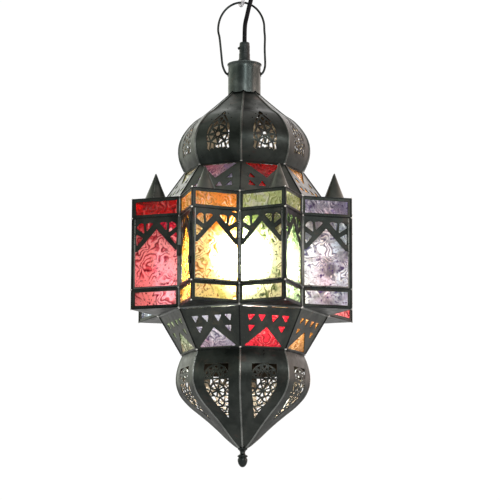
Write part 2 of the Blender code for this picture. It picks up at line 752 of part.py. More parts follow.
door_outline = ([[(DOOR_LEFT, DOOR_BOTTOM), (DOOR_RIGHT, DOOR_BOTTOM),
                  (DOOR_RIGHT, DOOR_TOP), (DOOR_LEFT, DOOR_TOP)],
                 arch_opening(DOOR_MID, 26.8, Z_SEAM_UP, Z_SEAM_LOW + 4.4)]
                + spandrel_holes(DOOR_MID, Z_SEAM_UP, 0.9))
door_plate = plate_mesh("door_frame", door_outline, -SHEET, 0.0)
door_plate.transform(DOOR_FRAME)
door_frame = place(bpy.data.objects.new("door_frame", door_plate), PARTS, IRON, DOOR)


def bar(x0, x1, v0, v1, n0, n1):
    """A straight block in the door's frame."""
    b = bmesh.new()
    bmesh.ops.create_cube(b, size=1.0, matrix=DOOR_FRAME
                          @ Matrix.Translation(Vector(((x0 + x1) / 2, (v0 + v1) / 2,
                                                       (n0 + n1) / 2)) * MM)
                          @ Matrix.Diagonal(Vector(((x1 - x0) * MM, (v1 - v0) * MM,
                                                    (n1 - n0) * MM, 1))))
    me = bpy.data.meshes.new("bar")
    b.to_mesh(me)
    b.free()
    return me


def rod(radius, v0, v1, segments):
    """A round rod on the hinge axis."""
    b = bmesh.new()
    bmesh.ops.create_cone(b, cap_ends=True, segments=segments, radius1=radius * MM,
                          radius2=radius * MM, depth=(v1 - v0) * MM,
                          matrix=Matrix.Translation((DOOR_AXIS.x, DOOR_AXIS.y,
                                                     (v0 + v1) / 2 * MM)))
    me = bpy.data.meshes.new("rod")
    b.to_mesh(me)
    b.free()
    return me


def unite(ob, cutter):
    mod = ob.modifiers.new("join_" + cutter.name, "BOOLEAN")
    mod.operation = "UNION"
    mod.solver = "EXACT"
    mod.object = cutter


ONE = Matrix.Identity(4)
feet = joined("door_leaf_feet", [(bar(61.0, 63.4, z - 4.6, z + 4.6, -0.5, 2.3), ONE)
                                 for z in KNUCKLES], CUTTERS)
leaves = joined("door_leaves", [(bar(61.4, 65.0, z - 5, z + 5, 0.3, 2.1), ONE)
                                for z in KNUCKLES], CUTTERS)
rolls = joined("door_rolls", [(rod(1.9, z - 5, z + 5, 16), ONE) for z in KNUCKLES],
               CUTTERS)
tab = joined("door_tab", [(bar(4.9, 6.2, -409.4, -394.4, -0.5, 5.2), ONE)], CUTTERS)
bore = joined("hinge_bore", [(rod(HINGE_PIN_R + 0.3, -440, -365, 12), ONE)], CUTTERS)
unite(door_frame, feet)
unite(door_frame, leaves)
unite(door_frame, rolls)
unite(door_frame, tab)
cut(door_frame, bore)

door_glass = plate_mesh("door_glass", [[(6.6, Z_SEAM_LOW + 3.0), (61.0, Z_SEAM_LOW + 3.0),
                                        (61.0, Z_SEAM_UP - 3.4), (6.6, Z_SEAM_UP - 3.4)]],
                        d0, d1)
door_glass.transform(DOOR_FRAME)
place(bpy.data.objects.new("door_glass", door_glass), PARTS, ORANGE, DOOR)

# the hinge wire: a long staple whose feet stand on the star point's post
staple = [(HINGE_U, -361.0, 0.3), (HINGE_U, -361.0, 1.3),
          (HINGE_U, -361.7, HINGE_N), (HINGE_U, -366.0, HINGE_N)]
staple += [(HINGE_U, -366.0 - 12.0 * k, HINGE_N) for k in range(1, 6)]
staple += [(HINGE_U, -439.0, HINGE_N), (HINGE_U, -443.3, HINGE_N),
           (HINGE_U, -444.0, 1.3), (HINGE_U, -444.0, 0.3)]
wire("door_hinge_wire", [(DOOR_FRAME @ (Vector(p) * MM)) / MM for p in staple],
     HINGE_PIN_R, WIRE, LANTERN)

# rounded pieces shade smooth over their soft edges
for ob in PARTS.objects:
    if ob.type == "MESH" and ob.name in ("bulb_glass", "bulb_cap"):
        ob.data.shade_smooth()
bpy.context.view_layer.update()
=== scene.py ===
"""Moroccan star lantern, looks: pierced plates, soldered seams, embossed panes,
a lit bulb, the bail on its clear hook and the flex.

Metres, +Z up, origin at the top of the ceiling rose.  Angles in plan are
counted from -Y (the front) towards +X.
"""
import math

import bmesh
import bpy
from mathutils import Matrix, Vector, noise


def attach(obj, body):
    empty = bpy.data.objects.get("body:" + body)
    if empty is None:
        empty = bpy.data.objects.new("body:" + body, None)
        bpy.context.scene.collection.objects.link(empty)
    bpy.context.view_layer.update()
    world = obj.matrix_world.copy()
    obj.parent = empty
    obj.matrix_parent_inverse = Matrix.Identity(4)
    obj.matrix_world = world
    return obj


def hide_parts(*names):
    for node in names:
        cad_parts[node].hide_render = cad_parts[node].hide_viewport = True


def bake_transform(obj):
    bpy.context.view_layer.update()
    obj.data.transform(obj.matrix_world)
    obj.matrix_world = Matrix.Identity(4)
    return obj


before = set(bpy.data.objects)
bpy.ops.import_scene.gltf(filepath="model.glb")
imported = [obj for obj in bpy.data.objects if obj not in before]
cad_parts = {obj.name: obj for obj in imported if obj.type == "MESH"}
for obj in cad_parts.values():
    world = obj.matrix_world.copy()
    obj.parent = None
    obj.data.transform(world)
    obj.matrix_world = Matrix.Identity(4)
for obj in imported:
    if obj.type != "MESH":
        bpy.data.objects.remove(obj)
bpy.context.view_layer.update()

MM = 0.001

# ----------------------------------------------------------------------
# Camera: below the lantern's middle, looking a little upwards
# ----------------------------------------------------------------------
CAM_AZ, CAM_EL, CAM_DIST = math.radians(2.5), math.radians(-9.8), 3.40
CAM_ROLL = math.radians(0.25)
CAM_TARGET = Vector((0.0087, 0.0, -0.3868))
cam_data = bpy.data.cameras.new("camera")
cam_data.sensor_width = 36.0
cam_data.lens = 181.0
cam_data.clip_start = 0.05
cam_data.clip_end = 60.0
camera = bpy.data.objects.new("camera", cam_data)
bpy.context.scene.collection.objects.link(camera)
camera.location = CAM_TARGET + CAM_DIST * Vector((
    math.sin(CAM_AZ) * math.cos(CAM_EL), -math.cos(CAM_AZ) * math.cos(CAM_EL),
    math.sin(CAM_EL)))
camera.rotation_euler = ((CAM_TARGET - camera.location).to_track_quat("-Z", "Y").to_matrix()
                         @ Matrix.Rotation(CAM_ROLL, 3, "Z")).to_euler()
bpy.context.scene.camera = camera

# ----------------------------------------------------------------------
# Sizes, in millimetres
# ----------------------------------------------------------------------
SIDES, STEP = 8, 45.0
SHEET, GAP = 0.9, 0.3
R_RECESS, R_POINT = 114.5, 158.0
Z_TOP, Z_UP, Z_LOW, Z_BOTTOM = -327.9, -354.4, -450.5, -477.0
UP_FRIEZE = ((80.0, -279.9), (113.9, -327.1))
LOW_FRIEZE = ((113.5, -477.9), (82.8, -530.0))
UPPER_DOME = ((19.2, -170.6), (31.9, -182.0), (42.8, -191.2), (54.9, -201.2),
              (67.4, -209.8), (77.7, -220.9), (85.2, -233.0), (88.8, -245.6),
              (88.4, -258.6), (85.3, -269.4), (80.7, -279.5))
LOWER_DOME = ((81.2, -530.7), (86.3, -543.3), (89.6, -558.0), (89.0, -572.0),
              (83.4, -585.6), (71.7, -598.9), (57.6, -610.4), (44.7, -621.0),
              (33.2, -631.4), (21.3, -642.9), (10.2, -652.3), (6.0, -654.6))
SPIRES = ((125.5, 15.3, 36.8), (120.0, 14.0, 34.0), (135.5, 13.7, 34.4),
          (133.5, 13.7, 35.4), (130.0, 13.7, 34.0), (129.0, 13.9, 34.6),
          (131.0, 13.7, 34.2), (130.0, 13.8, 34.8))
PIVOT_Z = -143.0
BAIL_APEX, BAIL_ARCH, BAIL_WIRE = (-4.6, -41.2), (31.8, 37.6), 1.5
COLLAR_R, COLLAR_TOP, COLLAR_BOTTOM = 22.3, -128.3, -172.2
DOOR_LEFT, DOOR_RIGHT = 4.0, 63.6
HINGE_U, HINGE_N = 65.6, 2.3
BAYS = (-67.5, -22.5, 22.5, 67.5, 112.5, 157.5, 202.5, 247.5)
COLOURS = ("red", "orange", "green", "purple") * 2
FRIEZE_COLOURS = ("green", "purple", "red", "orange") * 2


def plan(radius, angle, z=0.0):
    a = math.radians(angle)
    return Vector((radius * math.sin(a), -radius * math.cos(a), z)) * MM


def panel_frame(left, right):
    """u from left to right seen from outside, v up, n outwards."""
    u = (right - left).normalized()
    v = Vector((0, 0, 1))
    m = Matrix((u, v, u.cross(v))).transposed().to_4x4()
    m.translation = left
    return m


FACE_W = (plan(R_POINT, 22.5) - plan(R_RECESS, 0)).length / MM
DOOR_FRAME = panel_frame(plan(R_RECESS, -45), plan(R_POINT, -22.5))


def catmull(points, per_span):
    pts = [Vector(p) for p in points]
    pts = [2 * pts[0] - pts[1]] + pts + [2 * pts[-1] - pts[-2]]
    out = []
    for a, b, c, d in zip(pts, pts[1:], pts[2:], pts[3:]):
        for k in range(per_span):
            t = k / per_span
            out.append(0.5 * (2 * b + (c - a) * t + (2 * a - 5 * b + 4 * c - d) * t ** 2
                              + (3 * b - a - 3 * c + d) * t ** 3))
    out.append(pts[-2])
    return out


def spaced(points, distance):
    run = [0.0]
    for a, b in zip(points, points[1:]):
        run.append(run[-1] + (b - a).length)
    count = max(2, round(run[-1] / distance))
    out, k = [], 0
    for i in range(count + 1):
        s = run[-1] * i / count
        while k < len(run) - 2 and run[k + 1] < s:
            k += 1
        t = (s - run[k]) / max(run[k + 1] - run[k], 1e-9)
        out.append(points[k].lerp(points[k + 1], min(max(t, 0), 1)))
    return out


# ----------------------------------------------------------------------
# Materials
# ----------------------------------------------------------------------
class Nodes:
    """Short way to build a node tree: add(type, inputs...) and link by value."""

    def __init__(self, name):
        self.mat = bpy.data.materials.new(name)
        self.mat.use_nodes = True
        self.nt = self.mat.node_tree
        self.nt.nodes.clear()
        self.out = self.nt.nodes.new("ShaderNodeOutputMaterial")
        self.at = self.add("ShaderNodeTexCoord").outputs["Object"]

    def add(self, kind, inputs=None, **props):
        n = self.nt.nodes.new(kind)
        for k, v in props.items():
            setattr(n, k, v)
        for k, v in (inputs or {}).items():
            self.put(n.inputs[k], v)
        return n

    def put(self, socket, value):
        if isinstance(value, bpy.types.NodeSocket):
            self.nt.links.new(value, socket)
        elif isinstance(value, bpy.types.Node):
            self.nt.links.new(value.outputs[0], socket)
        else:
            socket.default_value = value

    def noise(self, scale, detail=3.0, rough=0.55, distortion=0.0, at=None):
        return self.add("ShaderNodeTexNoise", {
            "Vector": at or self.at, "Scale": scale, "Detail": detail,
            "Roughness": rough, "Distortion": distortion}).outputs["Fac"]

    def math(self, operation, a, b=0.0, clamp=False):
        n = self.add("ShaderNodeMath", operation=operation, use_clamp=clamp)
        self.put(n.inputs[0], a)
        self.put(n.inputs[1], b)
        return n.outputs[0]

    def remap(self, value, low, high, to_low=0.0, to_high=1.0, smooth=False):
        n = self.add("ShaderNodeMapRange", {
            "Value": value, "From Min": low, "From Max": high,
            "To Min": to_low, "To Max": to_high}, clamp=True)
        if smooth:
            n.interpolation_type = "SMOOTHSTEP"
        return n.outputs[0]

    def mix(self, fac, a, b, blend="MIX"):
        n = self.add("ShaderNodeMix", data_type="RGBA", blend_type=blend)
        self.put(n.inputs[0], fac)
        self.put(n.inputs[6], a)
        self.put(n.inputs[7], b)
        return n.outputs[2]

    def ramp(self, fac, stops):
        n = self.add("ShaderNodeValToRGB", {"Fac": fac})
        el = n.color_ramp.elements
        while len(el) < len(stops):
            el.new(0.5)
        for e, (p, c) in zip(el, stops):
            e.position = p
            e.color = (*c, 1.0)
        return n.outputs["Color"]

    def bump(self, height, strength, distance, normal=None):
        n = self.add("ShaderNodeBump", {"Height": height, "Strength": strength,
                                        "Distance": distance})
        if normal is not None:
            self.put(n.inputs["Normal"], normal)
        return n.outputs["Normal"]

    def surface(self, shader):
        self.put(self.out.inputs["Surface"], shader)
        return self.mat


def col(r, g, b):
    return (r, g, b, 1.0)


def metal(name, dark, mid, rust, rough=(0.30, 0.52), metallic=0.85, worn=0.0,
          grain=420.0, bump=0.25, painted_shade_heights=None, coat=0.0):
    """Patinated sheet: cloudy tone, brown staining, fine grain, soft dents,
    an optional painted shade that blackens the sheet and dulls its sheen
    upwards between two heights, and a film of lacquer."""
    n = Nodes(name)
    cloud = n.noise(26.0, 4.0, 0.6, 0.4)
    base = n.mix(n.remap(cloud, 0.36, 0.66, smooth=True), col(*dark), col(*mid))
    stain = n.noise(47.0, 5.0, 0.62, 0.8)
    base = n.mix(n.remap(stain, 0.56, 0.78, 0.0, 0.65, smooth=True), base, col(*rust))
    fine = n.noise(grain, 3.0, 0.6)
    base = n.mix(n.remap(fine, 0.60, 0.80, 0.0, 0.25), base,
                 col(*[min(1.0, c * 2.4) for c in mid]))
    if worn:
        scratch = n.noise(160.0, 6.0, 0.7, 1.6)
        base = n.mix(n.remap(scratch, 0.50, 0.62, 0.0, worn), base,
                     col(0.34, 0.35, 0.34))
    gloss = 0.5
    # painted shade: near black and without sheen above the given heights
    if painted_shade_heights:
        z = n.add("ShaderNodeSeparateXYZ", {"Vector": n.at}).outputs["Z"]
        z = n.math("ADD", z, n.remap(n.noise(60.0, 3.0), 0.3, 0.7, -0.008, 0.008))
        black = n.remap(z, painted_shade_heights[0], painted_shade_heights[1], 0.0, 0.97, smooth=True)
        base = n.mix(black, base, col(0.006, 0.005, 0.004))
        gloss = n.math("SUBTRACT", 0.5, n.math("MULTIPLY", black, 0.49))
    roughness = n.remap(n.noise(90.0, 4.0, 0.6), 0.3, 0.7, rough[0], rough[1])
    dent = n.bump(n.noise(34.0, 2.0, 0.5), bump, 0.0010)
    normal = n.bump(fine, 0.18, 0.0002, dent)
    bsdf = n.add("ShaderNodeBsdfPrincipled", {
        "Base Color": base, "Metallic": metallic, "Roughness": roughness,
        "Normal": normal, "Specular IOR Level": gloss,
        "Coat Weight": coat, "Coat Roughness": 0.22})
    return n.surface(bsdf)


IRON = metal("aged_iron", (0.012, 0.016, 0.014), (0.032, 0.038, 0.034),
             (0.066, 0.042, 0.034), rough=(0.27, 0.46), metallic=0.8)
IRON_FRIEZE = metal("aged_iron_frieze", (0.014, 0.019, 0.016), (0.038, 0.044, 0.036),
                    (0.085, 0.066, 0.040), rough=(0.27, 0.46), metallic=0.75, coat=0.28)
IRON_TUBE = metal("aged_iron_tube", (0.032, 0.042, 0.040), (0.084, 0.100, 0.096),
                  (0.080, 0.072, 0.060), rough=(0.30, 0.46), metallic=0.8)
IRON_JOINT = metal("aged_iron_joint", (0.040, 0.047, 0.043), (0.105, 0.112, 0.104),
                   (0.085, 0.062, 0.050), rough=(0.28, 0.45), worn=0.08, grain=260.0)
# lighter iron for seams, ribs and turned edges: partly wear, partly a painted highlight where they catch
# the light
IRON_WORN_EDGE_SHEEN = metal("aged_iron_worn_edge_sheen", (0.090, 0.098, 0.092), (0.20, 0.215, 0.205),
                  (0.13, 0.105, 0.09), rough=(0.24, 0.38), worn=0.12, grain=260.0)
IRON_SPIRE = metal("aged_iron_spire", (0.026, 0.032, 0.028), (0.096, 0.100, 0.088),
                   (0.120, 0.078, 0.058), rough=(0.30, 0.50), metallic=0.7)
IRON_DARK = metal("aged_iron_seam", (0.008, 0.010, 0.010), (0.018, 0.022, 0.021),
                  (0.028, 0.020, 0.016), rough=(0.34, 0.55))
# tinned inside of the domes; the upper dome's inside is painted near black above about z -0.2 m: painted
# shade
TIN = metal("tin_inside", (0.18, 0.145, 0.095), (0.42, 0.35, 0.25),
            (0.22, 0.10, 0.045), rough=(0.45, 0.65), metallic=0.15, grain=300.0,
            painted_shade_heights=(-0.218, -0.190))
# the same tin at about half the brightness, for the lower dome: painted shade; its top is also painted near
# black above about z -0.56 m, painted shade as well
TIN_PAINTED_SHADE_LOW = metal("tin_inside_painted_shade_low", (0.09, 0.072, 0.05), (0.22, 0.19, 0.14),
                (0.12, 0.065, 0.035), rough=(0.45, 0.65), metallic=0.15, grain=300.0,
                painted_shade_heights=(-0.566, -0.552))
DULL = metal("dull_inside", (0.010, 0.009, 0.008), (0.030, 0.026, 0.020),
             (0.030, 0.018, 0.010), rough=(0.45, 0.65), metallic=0.3, grain=300.0)
WIRE = metal("black_wire", (0.007, 0.010, 0.009), (0.017, 0.023, 0.022),
             (0.020, 0.018, 0.014), rough=(0.28, 0.44), metallic=0.7, grain=600.0)
STEEL = metal("threaded_steel", (0.40, 0.40, 0.38), (0.60, 0.59, 0.56),
              (0.34, 0.27, 0.18), rough=(0.25, 0.45), metallic=1.0)
CAP = metal("bulb_cap_metal", (0.52, 0.51, 0.47), (0.74, 0.72, 0.66),
            (0.42, 0.36, 0.26), rough=(0.18, 0.36), metallic=1.0)
SOLDER = metal("solder", (0.62, 0.62, 0.60), (0.92, 0.92, 0.88),
               (0.50, 0.46, 0.38), rough=(0.16, 0.34), metallic=0.55, grain=700.0,
               bump=0.4)


def plastic(name, dark, light, rough, coat=0.0, grain=900.0, gloss=0.5):
    n = Nodes(name)
    base = n.mix(n.remap(n.noise(70.0, 3.0), 0.35, 0.7), col(*dark), col(*light))
    fine = n.noise(grain, 2.0)
    bsdf = n.add("ShaderNodeBsdfPrincipled", {
        "Base Color": base, "Roughness": n.remap(n.noise(140.0, 3.0), 0.3, 0.7,
                                                 rough[0], rough[1]),
        "Normal": n.bump(fine, 0.12, 0.0001), "Coat Weight": coat,
        "Specular IOR Level": gloss})
    return n.surface(bsdf)


BLACK = plastic("black_plastic", (0.008, 0.012, 0.012), (0.020, 0.028, 0.027),
                (0.32, 0.48), gloss=0.3)
CABLE = plastic("cord_sheath", (0.002, 0.002, 0.003), (0.005, 0.005, 0.006),
                (0.42, 0.56), gloss=0.10)
HANGER = plastic("hanger_black", (0.014, 0.014, 0.014), (0.026, 0.026, 0.026),
                 (0.34, 0.46), coat=0.15)


def clear_plastic():
    n = Nodes("clear_hook")
    cloud = n.remap(n.noise(160.0, 3.0, 0.6), 0.35, 0.65)
    tint = n.mix(cloud, col(0.56, 0.55, 0.58), col(0.78, 0.77, 0.80))
    normal = n.bump(n.noise(320.0, 2.0), 0.3, 0.0004)
    soft = n.add("ShaderNodeBsdfPrincipled", {
        "Base Color": tint, "Roughness": 0.22, "Transmission Weight": 0.55,
        "IOR": 1.35, "Normal": normal})
    return n.surface(soft)


CLEAR = clear_plastic()


def pane(name, light, deep, line, fleck, scatter=0.12, rough=0.34, clear=-0.43,
         painted_glow_amount=0.20, spark=(1.0, 1.0, 1.0), glint=0.20, ior=1.32):
    """Embossed coloured glass.

    The relief is in the mesh; the lines of its swirls, its terraces and its
    crests come in as three attributes: one for the groove lines, 'band' and
    'crest'.  The tint is deep on the terraces' flanks.  The grooves and pits
    take the dark colour 'line', a painted shade, and the crests pale towards
    'spark', a painted highlight.  Downwards to the height 'clear' the tint
    pales: a painted glow where the bulb's light falls on the pane."""
    n = Nodes(name)
    swirl = n.add("ShaderNodeAttribute", attribute_name="swirl").outputs["Fac"]
    band = n.add("ShaderNodeAttribute", attribute_name="band").outputs["Fac"]
    crest = n.add("ShaderNodeAttribute", attribute_name="crest").outputs["Fac"]
    z = n.add("ShaderNodeSeparateXYZ", {"Vector": n.at}).outputs["Z"]
    cloud = n.noise(24.0, 3.0, 0.6, 0.9)
    # painted glow: the tint pales downwards to the height 'clear', where the bulb's light falls on the pane
    low = n.remap(z, clear + 0.075, clear, -painted_glow_amount * 0.6, painted_glow_amount)
    tint = n.mix(n.remap(n.math("ADD", cloud, low), 0.40, 0.62, 1.0, 0.0, smooth=True),
                 col(*light), col(*deep))
    tint = n.mix(n.math("MULTIPLY", band, 0.75), tint, col(*deep))
    patch = n.remap(n.noise(44.0, 3.0, 0.6, 1.2), 0.56, 0.66, 0.0, 0.55, smooth=True)
    tint = n.mix(patch, tint, col(*fleck))
    speck = n.remap(n.noise(290.0, 2.0, 0.5, 0.6), 0.61, 0.68, 0.0, 0.75)
    # painted shade: the grooves and pits, and the random specks with them, take the dark colour 'line';
    # painted highlight: the crests pale towards 'spark'
    tint = n.mix(n.math("MAXIMUM", swirl, speck), tint, col(*line))
    tint = n.mix(n.math("MULTIPLY", crest, 0.8), tint, col(*spark))
    normal = n.bump(n.noise(430.0, 2.0, 0.5, 0.4), 0.45, 0.0004)
    glass = n.add("ShaderNodeBsdfGlass", {"Color": tint, "Roughness": rough,
                                          "IOR": ior, "Normal": normal},
                  distribution="BECKMANN")
    haze = n.add("ShaderNodeBsdfTranslucent", {"Color": tint, "Normal": normal})
    share = n.math("ADD", scatter, n.math("MULTIPLY", crest, glint))
    # light that comes from the pane's back has passed both faces: it goes
    # straight on, tinted, instead of being bent a second time
    plain = n.add("ShaderNodeBsdfTransparent", {"Color": tint})
    behind = n.add("ShaderNodeNewGeometry").outputs["Backfacing"]
    clear_part = n.add("ShaderNodeMixShader", {"Fac": behind})
    n.put(clear_part.inputs[1], glass)
    n.put(clear_part.inputs[2], plain)
    body = n.add("ShaderNodeMixShader", {"Fac": share})
    n.put(body.inputs[1], clear_part)
    n.put(body.inputs[2], haze)
    shine = n.add("ShaderNodeBsdfAnisotropic", {"Color": col(1, 1, 1),
                                                "Roughness": 0.12, "Normal": normal})
    fres = n.add("ShaderNodeFresnel", {"IOR": 1.42, "Normal": normal}).outputs[0]
    fres = n.math("MULTIPLY", fres, n.math("SUBTRACT", 1.0, behind))
    both = n.add("ShaderNodeMixShader", {"Fac": fres})
    n.put(both.inputs[1], body)
    n.put(both.inputs[2], shine)
    return n.surface(both)


def pane_back(name, tint):
    """The smooth back and edges of a pane: it lets everything through."""
    n = Nodes(name)
    wobble = n.remap(n.noise(60.0, 2.0), 0.3, 0.7)
    c = n.mix(wobble, col(*tint), col(*[min(1.0, v * 1.03) for v in tint]))
    return n.surface(n.add("ShaderNodeBsdfTransparent", {"Color": c}))


GLASS = {
    "red": pane("glass_red", (1.0, 0.33, 0.35), (0.62, 0.008, 0.030), (0.13, 0.0, 0.01),
                (0.80, 0.05, 0.10), painted_glow_amount=0.40, spark=(1.0, 0.46, 0.50), glint=0.05,
                scatter=0.10),
    "red_deep": pane("glass_red_deep", (1.0, 0.012, 0.010), (0.72, 0.005, 0.005),
                     (0.26, 0.001, 0.002), (0.85, 0.008, 0.008), scatter=0.08,
                     spark=(0.70, 0.05, 0.04), glint=0.04),
    "red_frieze": pane("glass_red_frieze", (0.90, 0.018, 0.055), (0.60, 0.006, 0.020),
                       (0.14, 0.0, 0.006), (0.95, 0.12, 0.17), scatter=0.10,
                       spark=(1.0, 0.24, 0.28), glint=0.06),
    "orange": pane("glass_orange", (1.0, 0.60, 0.12), (1.0, 0.28, 0.03),
                   (0.42, 0.10, 0.005), (0.46, 0.46, 0.08), spark=(1.0, 0.86, 0.50)),
    # paler copy of the orange glass for the walls that face the camera with the bulb behind them: painted
    # glow
    "orange_lit": pane("glass_orange_painted_glow", (1.0, 0.74, 0.29), (0.86, 0.24, 0.02),
                       (0.28, 0.070, 0.003), (0.38, 0.42, 0.06), spark=(1.0, 0.90, 0.60),
                       rough=0.80, ior=1.5, painted_glow_amount=0.36),
    # darker copy of the orange glass for the other walls of those bays and the door: painted shade
    "orange_side": pane("glass_orange_painted_shade", (0.30, 0.165, 0.022), (0.22, 0.070, 0.005),
                        (0.06, 0.016, 0.001), (0.13, 0.115, 0.014), spark=(0.52, 0.40, 0.15),
                        rough=0.85, ior=1.5, scatter=0.22),
    "orange_deep": pane("glass_orange_deep", (1.0, 0.66, 0.17), (1.0, 0.38, 0.045),
                        (0.42, 0.16, 0.015), (0.58, 0.54, 0.14), scatter=0.16,
                        spark=(1.0, 0.80, 0.50)),
    "orange_frieze": pane("glass_orange_frieze", (0.66, 0.34, 0.11), (0.50, 0.19, 0.04),
                          (0.24, 0.10, 0.02), (0.38, 0.34, 0.12), scatter=0.10,
                          spark=(0.90, 0.70, 0.42)),
    "green": pane("glass_green", (0.66, 0.80, 0.46), (0.32, 0.44, 0.14),
                  (0.04, 0.11, 0.03), (0.42, 0.70, 0.40), spark=(1.0, 1.0, 0.90)),
    # paler copy of the green glass for the walls that face the camera with the bulb behind them: painted
    # glow
    "green_lit": pane("glass_green_painted_glow", (0.66, 0.76, 0.46), (0.115, 0.170, 0.038),
                      (0.02, 0.060, 0.013), (0.24, 0.42, 0.18), spark=(0.90, 0.92, 0.70),
                      rough=0.76, ior=1.5, painted_glow_amount=0.36),
    # darker copy of the green glass for the other walls of those bays: painted shade
    "green_side": pane("glass_green_painted_shade", (0.120, 0.155, 0.090), (0.030, 0.055, 0.014),
                       (0.004, 0.016, 0.005), (0.045, 0.105, 0.060), spark=(0.34, 0.40, 0.28),
                       rough=0.85, ior=1.5, scatter=0.22),
    "green_deep": pane("glass_green_deep", (0.66, 0.74, 0.36), (0.42, 0.48, 0.18),
                       (0.15, 0.20, 0.06), (0.66, 0.64, 0.60), scatter=0.16,
                       spark=(0.80, 0.82, 0.64)),
    "green_frieze": pane("glass_green_frieze", (0.30, 0.36, 0.26), (0.19, 0.25, 0.16),
                         (0.08, 0.12, 0.06), (0.34, 0.34, 0.30), scatter=0.10,
                         spark=(0.66, 0.72, 0.60)),
    "purple": pane("glass_purple", (0.68, 0.84, 0.96), (0.155, 0.195, 0.22),
                   (0.06, 0.05, 0.18), (0.44, 0.52, 0.68), spark=(1.0, 1.0, 1.0),
                   glint=0.5, painted_glow_amount=0.06, scatter=0.11, rough=0.58, ior=1.45),
    "purple_deep": pane("glass_purple_deep", (0.56, 0.53, 0.66), (0.34, 0.32, 0.48),
                        (0.06, 0.03, 0.13), (0.28, 0.20, 0.68), scatter=0.10,
                        spark=(0.80, 0.74, 0.88)),
    "purple_frieze": pane("glass_purple_frieze", (0.40, 0.39, 0.56), (0.28, 0.26, 0.40),
                          (0.06, 0.04, 0.14), (0.48, 0.42, 0.56), scatter=0.08,
                          spark=(0.80, 0.78, 0.92), glint=0.08),
}
BACKS = {
    "red": pane_back("glass_red_back", (0.98, 0.92, 0.92)),
    "orange": pane_back("glass_orange_back", (1.0, 0.97, 0.92)),
    "green": pane_back("glass_green_back", (0.97, 0.99, 0.94)),
    "purple": pane_back("glass_purple_back", (0.97, 0.96, 0.99)),
}


def lamp_glass():
    """Frosted bulb: its round end glows, its neck is white and dimmer."""
    n = Nodes("lamp_glass")
    z = n.add("ShaderNodeSeparateXYZ", {"Vector": n.at}).outputs["Z"]
    low = n.remap(z, -0.378, -0.402, 0.12, 1.0, smooth=True)
    grain = n.remap(n.noise(240.0, 2.0), 0.3, 0.7, 0.94, 1.0)
    power = n.math("MULTIPLY", n.math("MULTIPLY", low, grain), LAMP_POWER)
    bsdf = n.add("ShaderNodeBsdfPrincipled", {
        "Base Color": col(0.92, 0.90, 0.85), "Roughness": 0.35,
        "Emission Color": col(1.0, 0.94, 0.82), "Emission Strength": power})
    return n.surface(bsdf)


LAMP_POWER = 225.0
LAMP = lamp_glass()

# ----------------------------------------------------------------------
# Mesh helpers
# ----------------------------------------------------------------------
LINK = bpy.context.scene.collection.objects.link


def mesh_of(ob):
    bpy.context.view_layer.update()
    deps = bpy.context.evaluated_depsgraph_get()
    return bpy.data.meshes.new_from_object(ob.evaluated_get(deps))


def piece(name, me, mats, body, slot_name, *nodes):
    """A finished mesh as a piece of the lantern."""
    ob = bpy.data.objects.new(name, me)
    LINK(ob)
    slots = [0] * len(me.polygons)
    me.polygons.foreach_get("material_index", slots)
    me.materials.clear()                 # this also sets every face back to slot 0
    for m in mats:
        me.materials.append(m)
    me.polygons.foreach_set("material_index", slots)
    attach(ob, body)
    if nodes:
        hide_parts(*nodes)
    return ob


def weld(bm, dist=1e-7):
    bmesh.ops.remove_doubles(bm, verts=bm.verts, dist=dist)


def flat_fill(outlines):
    """A filled flat mesh from closed outlines in mm (first the rim, then holes)."""
    cu = bpy.data.curves.new("fill", "CURVE")
    cu.dimensions = "2D"
    cu.fill_mode = "BOTH"
    for pts in outlines:
        sp = cu.splines.new("POLY")
        sp.points.add(len(pts) - 1)
        for p, (x, y) in zip(sp.points, pts):
            p.co = (x * MM, y * MM, 0.0, 1.0)
        sp.use_cyclic_u = True
    ob = bpy.data.objects.new("fill", cu)
    LINK(ob)
    me = mesh_of(ob)
    bpy.data.objects.remove(ob)
    bm = bmesh.new()
    bm.from_mesh(me)
    weld(bm)
    for f in bm.faces:
        if f.normal.z < 0:
            f.normal_flip()
    bm.to_mesh(me)
    bm.free()
    return me


def box_outline(x0, x1, y0, y1):
    return [(x0, y0), (x1, y0), (x1, y1), (x0, y1)]


def soft_corners(pts, radius, steps=2):
    """A closed outline with its corners rounded off."""
    out = []
    n = len(pts)
    for i in range(n):
        p0, p1, p2 = Vector(pts[i - 1]), Vector(pts[i]), Vector(pts[(i + 1) % n])
        a, b = (p0 - p1), (p2 - p1)
        la, lb = a.length, b.length
        if la < 1e-6 or lb < 1e-6:
            continue
        a /= la
        b /= lb
        half = math.acos(max(-1.0, min(1.0, a.dot(b)))) / 2
        if half > math.radians(84) or half < 1e-3:
            out.append(tuple(p1))
            continue
        back = min(radius / math.tan(half), 0.42 * la, 0.42 * lb)
        s, e = p1 + a * back, p1 + b * back
        for k in range(steps + 1):
            t = k / steps
            q = (1 - t) ** 2 * s + 2 * t * (1 - t) * p1 + t * t * e
            out.append((q.x, q.y))
    return out


def disc(cu, cs, radius, count, turn=0.0, squash=1.0):
    return [(cu + radius * math.sin(turn + 2 * math.pi * k / count),
             cs - radius * squash * math.cos(turn + 2 * math.pi * k / count))
            for k in range(count)]


def add_mesh(bm, me, matrix=None, index=None):
    """Append a mesh to a bmesh, moved, with its faces on one material."""
    start = len(bm.faces)
    first = len(bm.verts)
    bm.from_mesh(me)
    bm.faces.ensure_lookup_table()
    bm.verts.ensure_lookup_table()
    if matrix is not None:
        bmesh.ops.transform(bm, matrix=matrix, verts=bm.verts[first:])
    if index is not None:
        for f in bm.faces[start:]:
            f.material_index = index


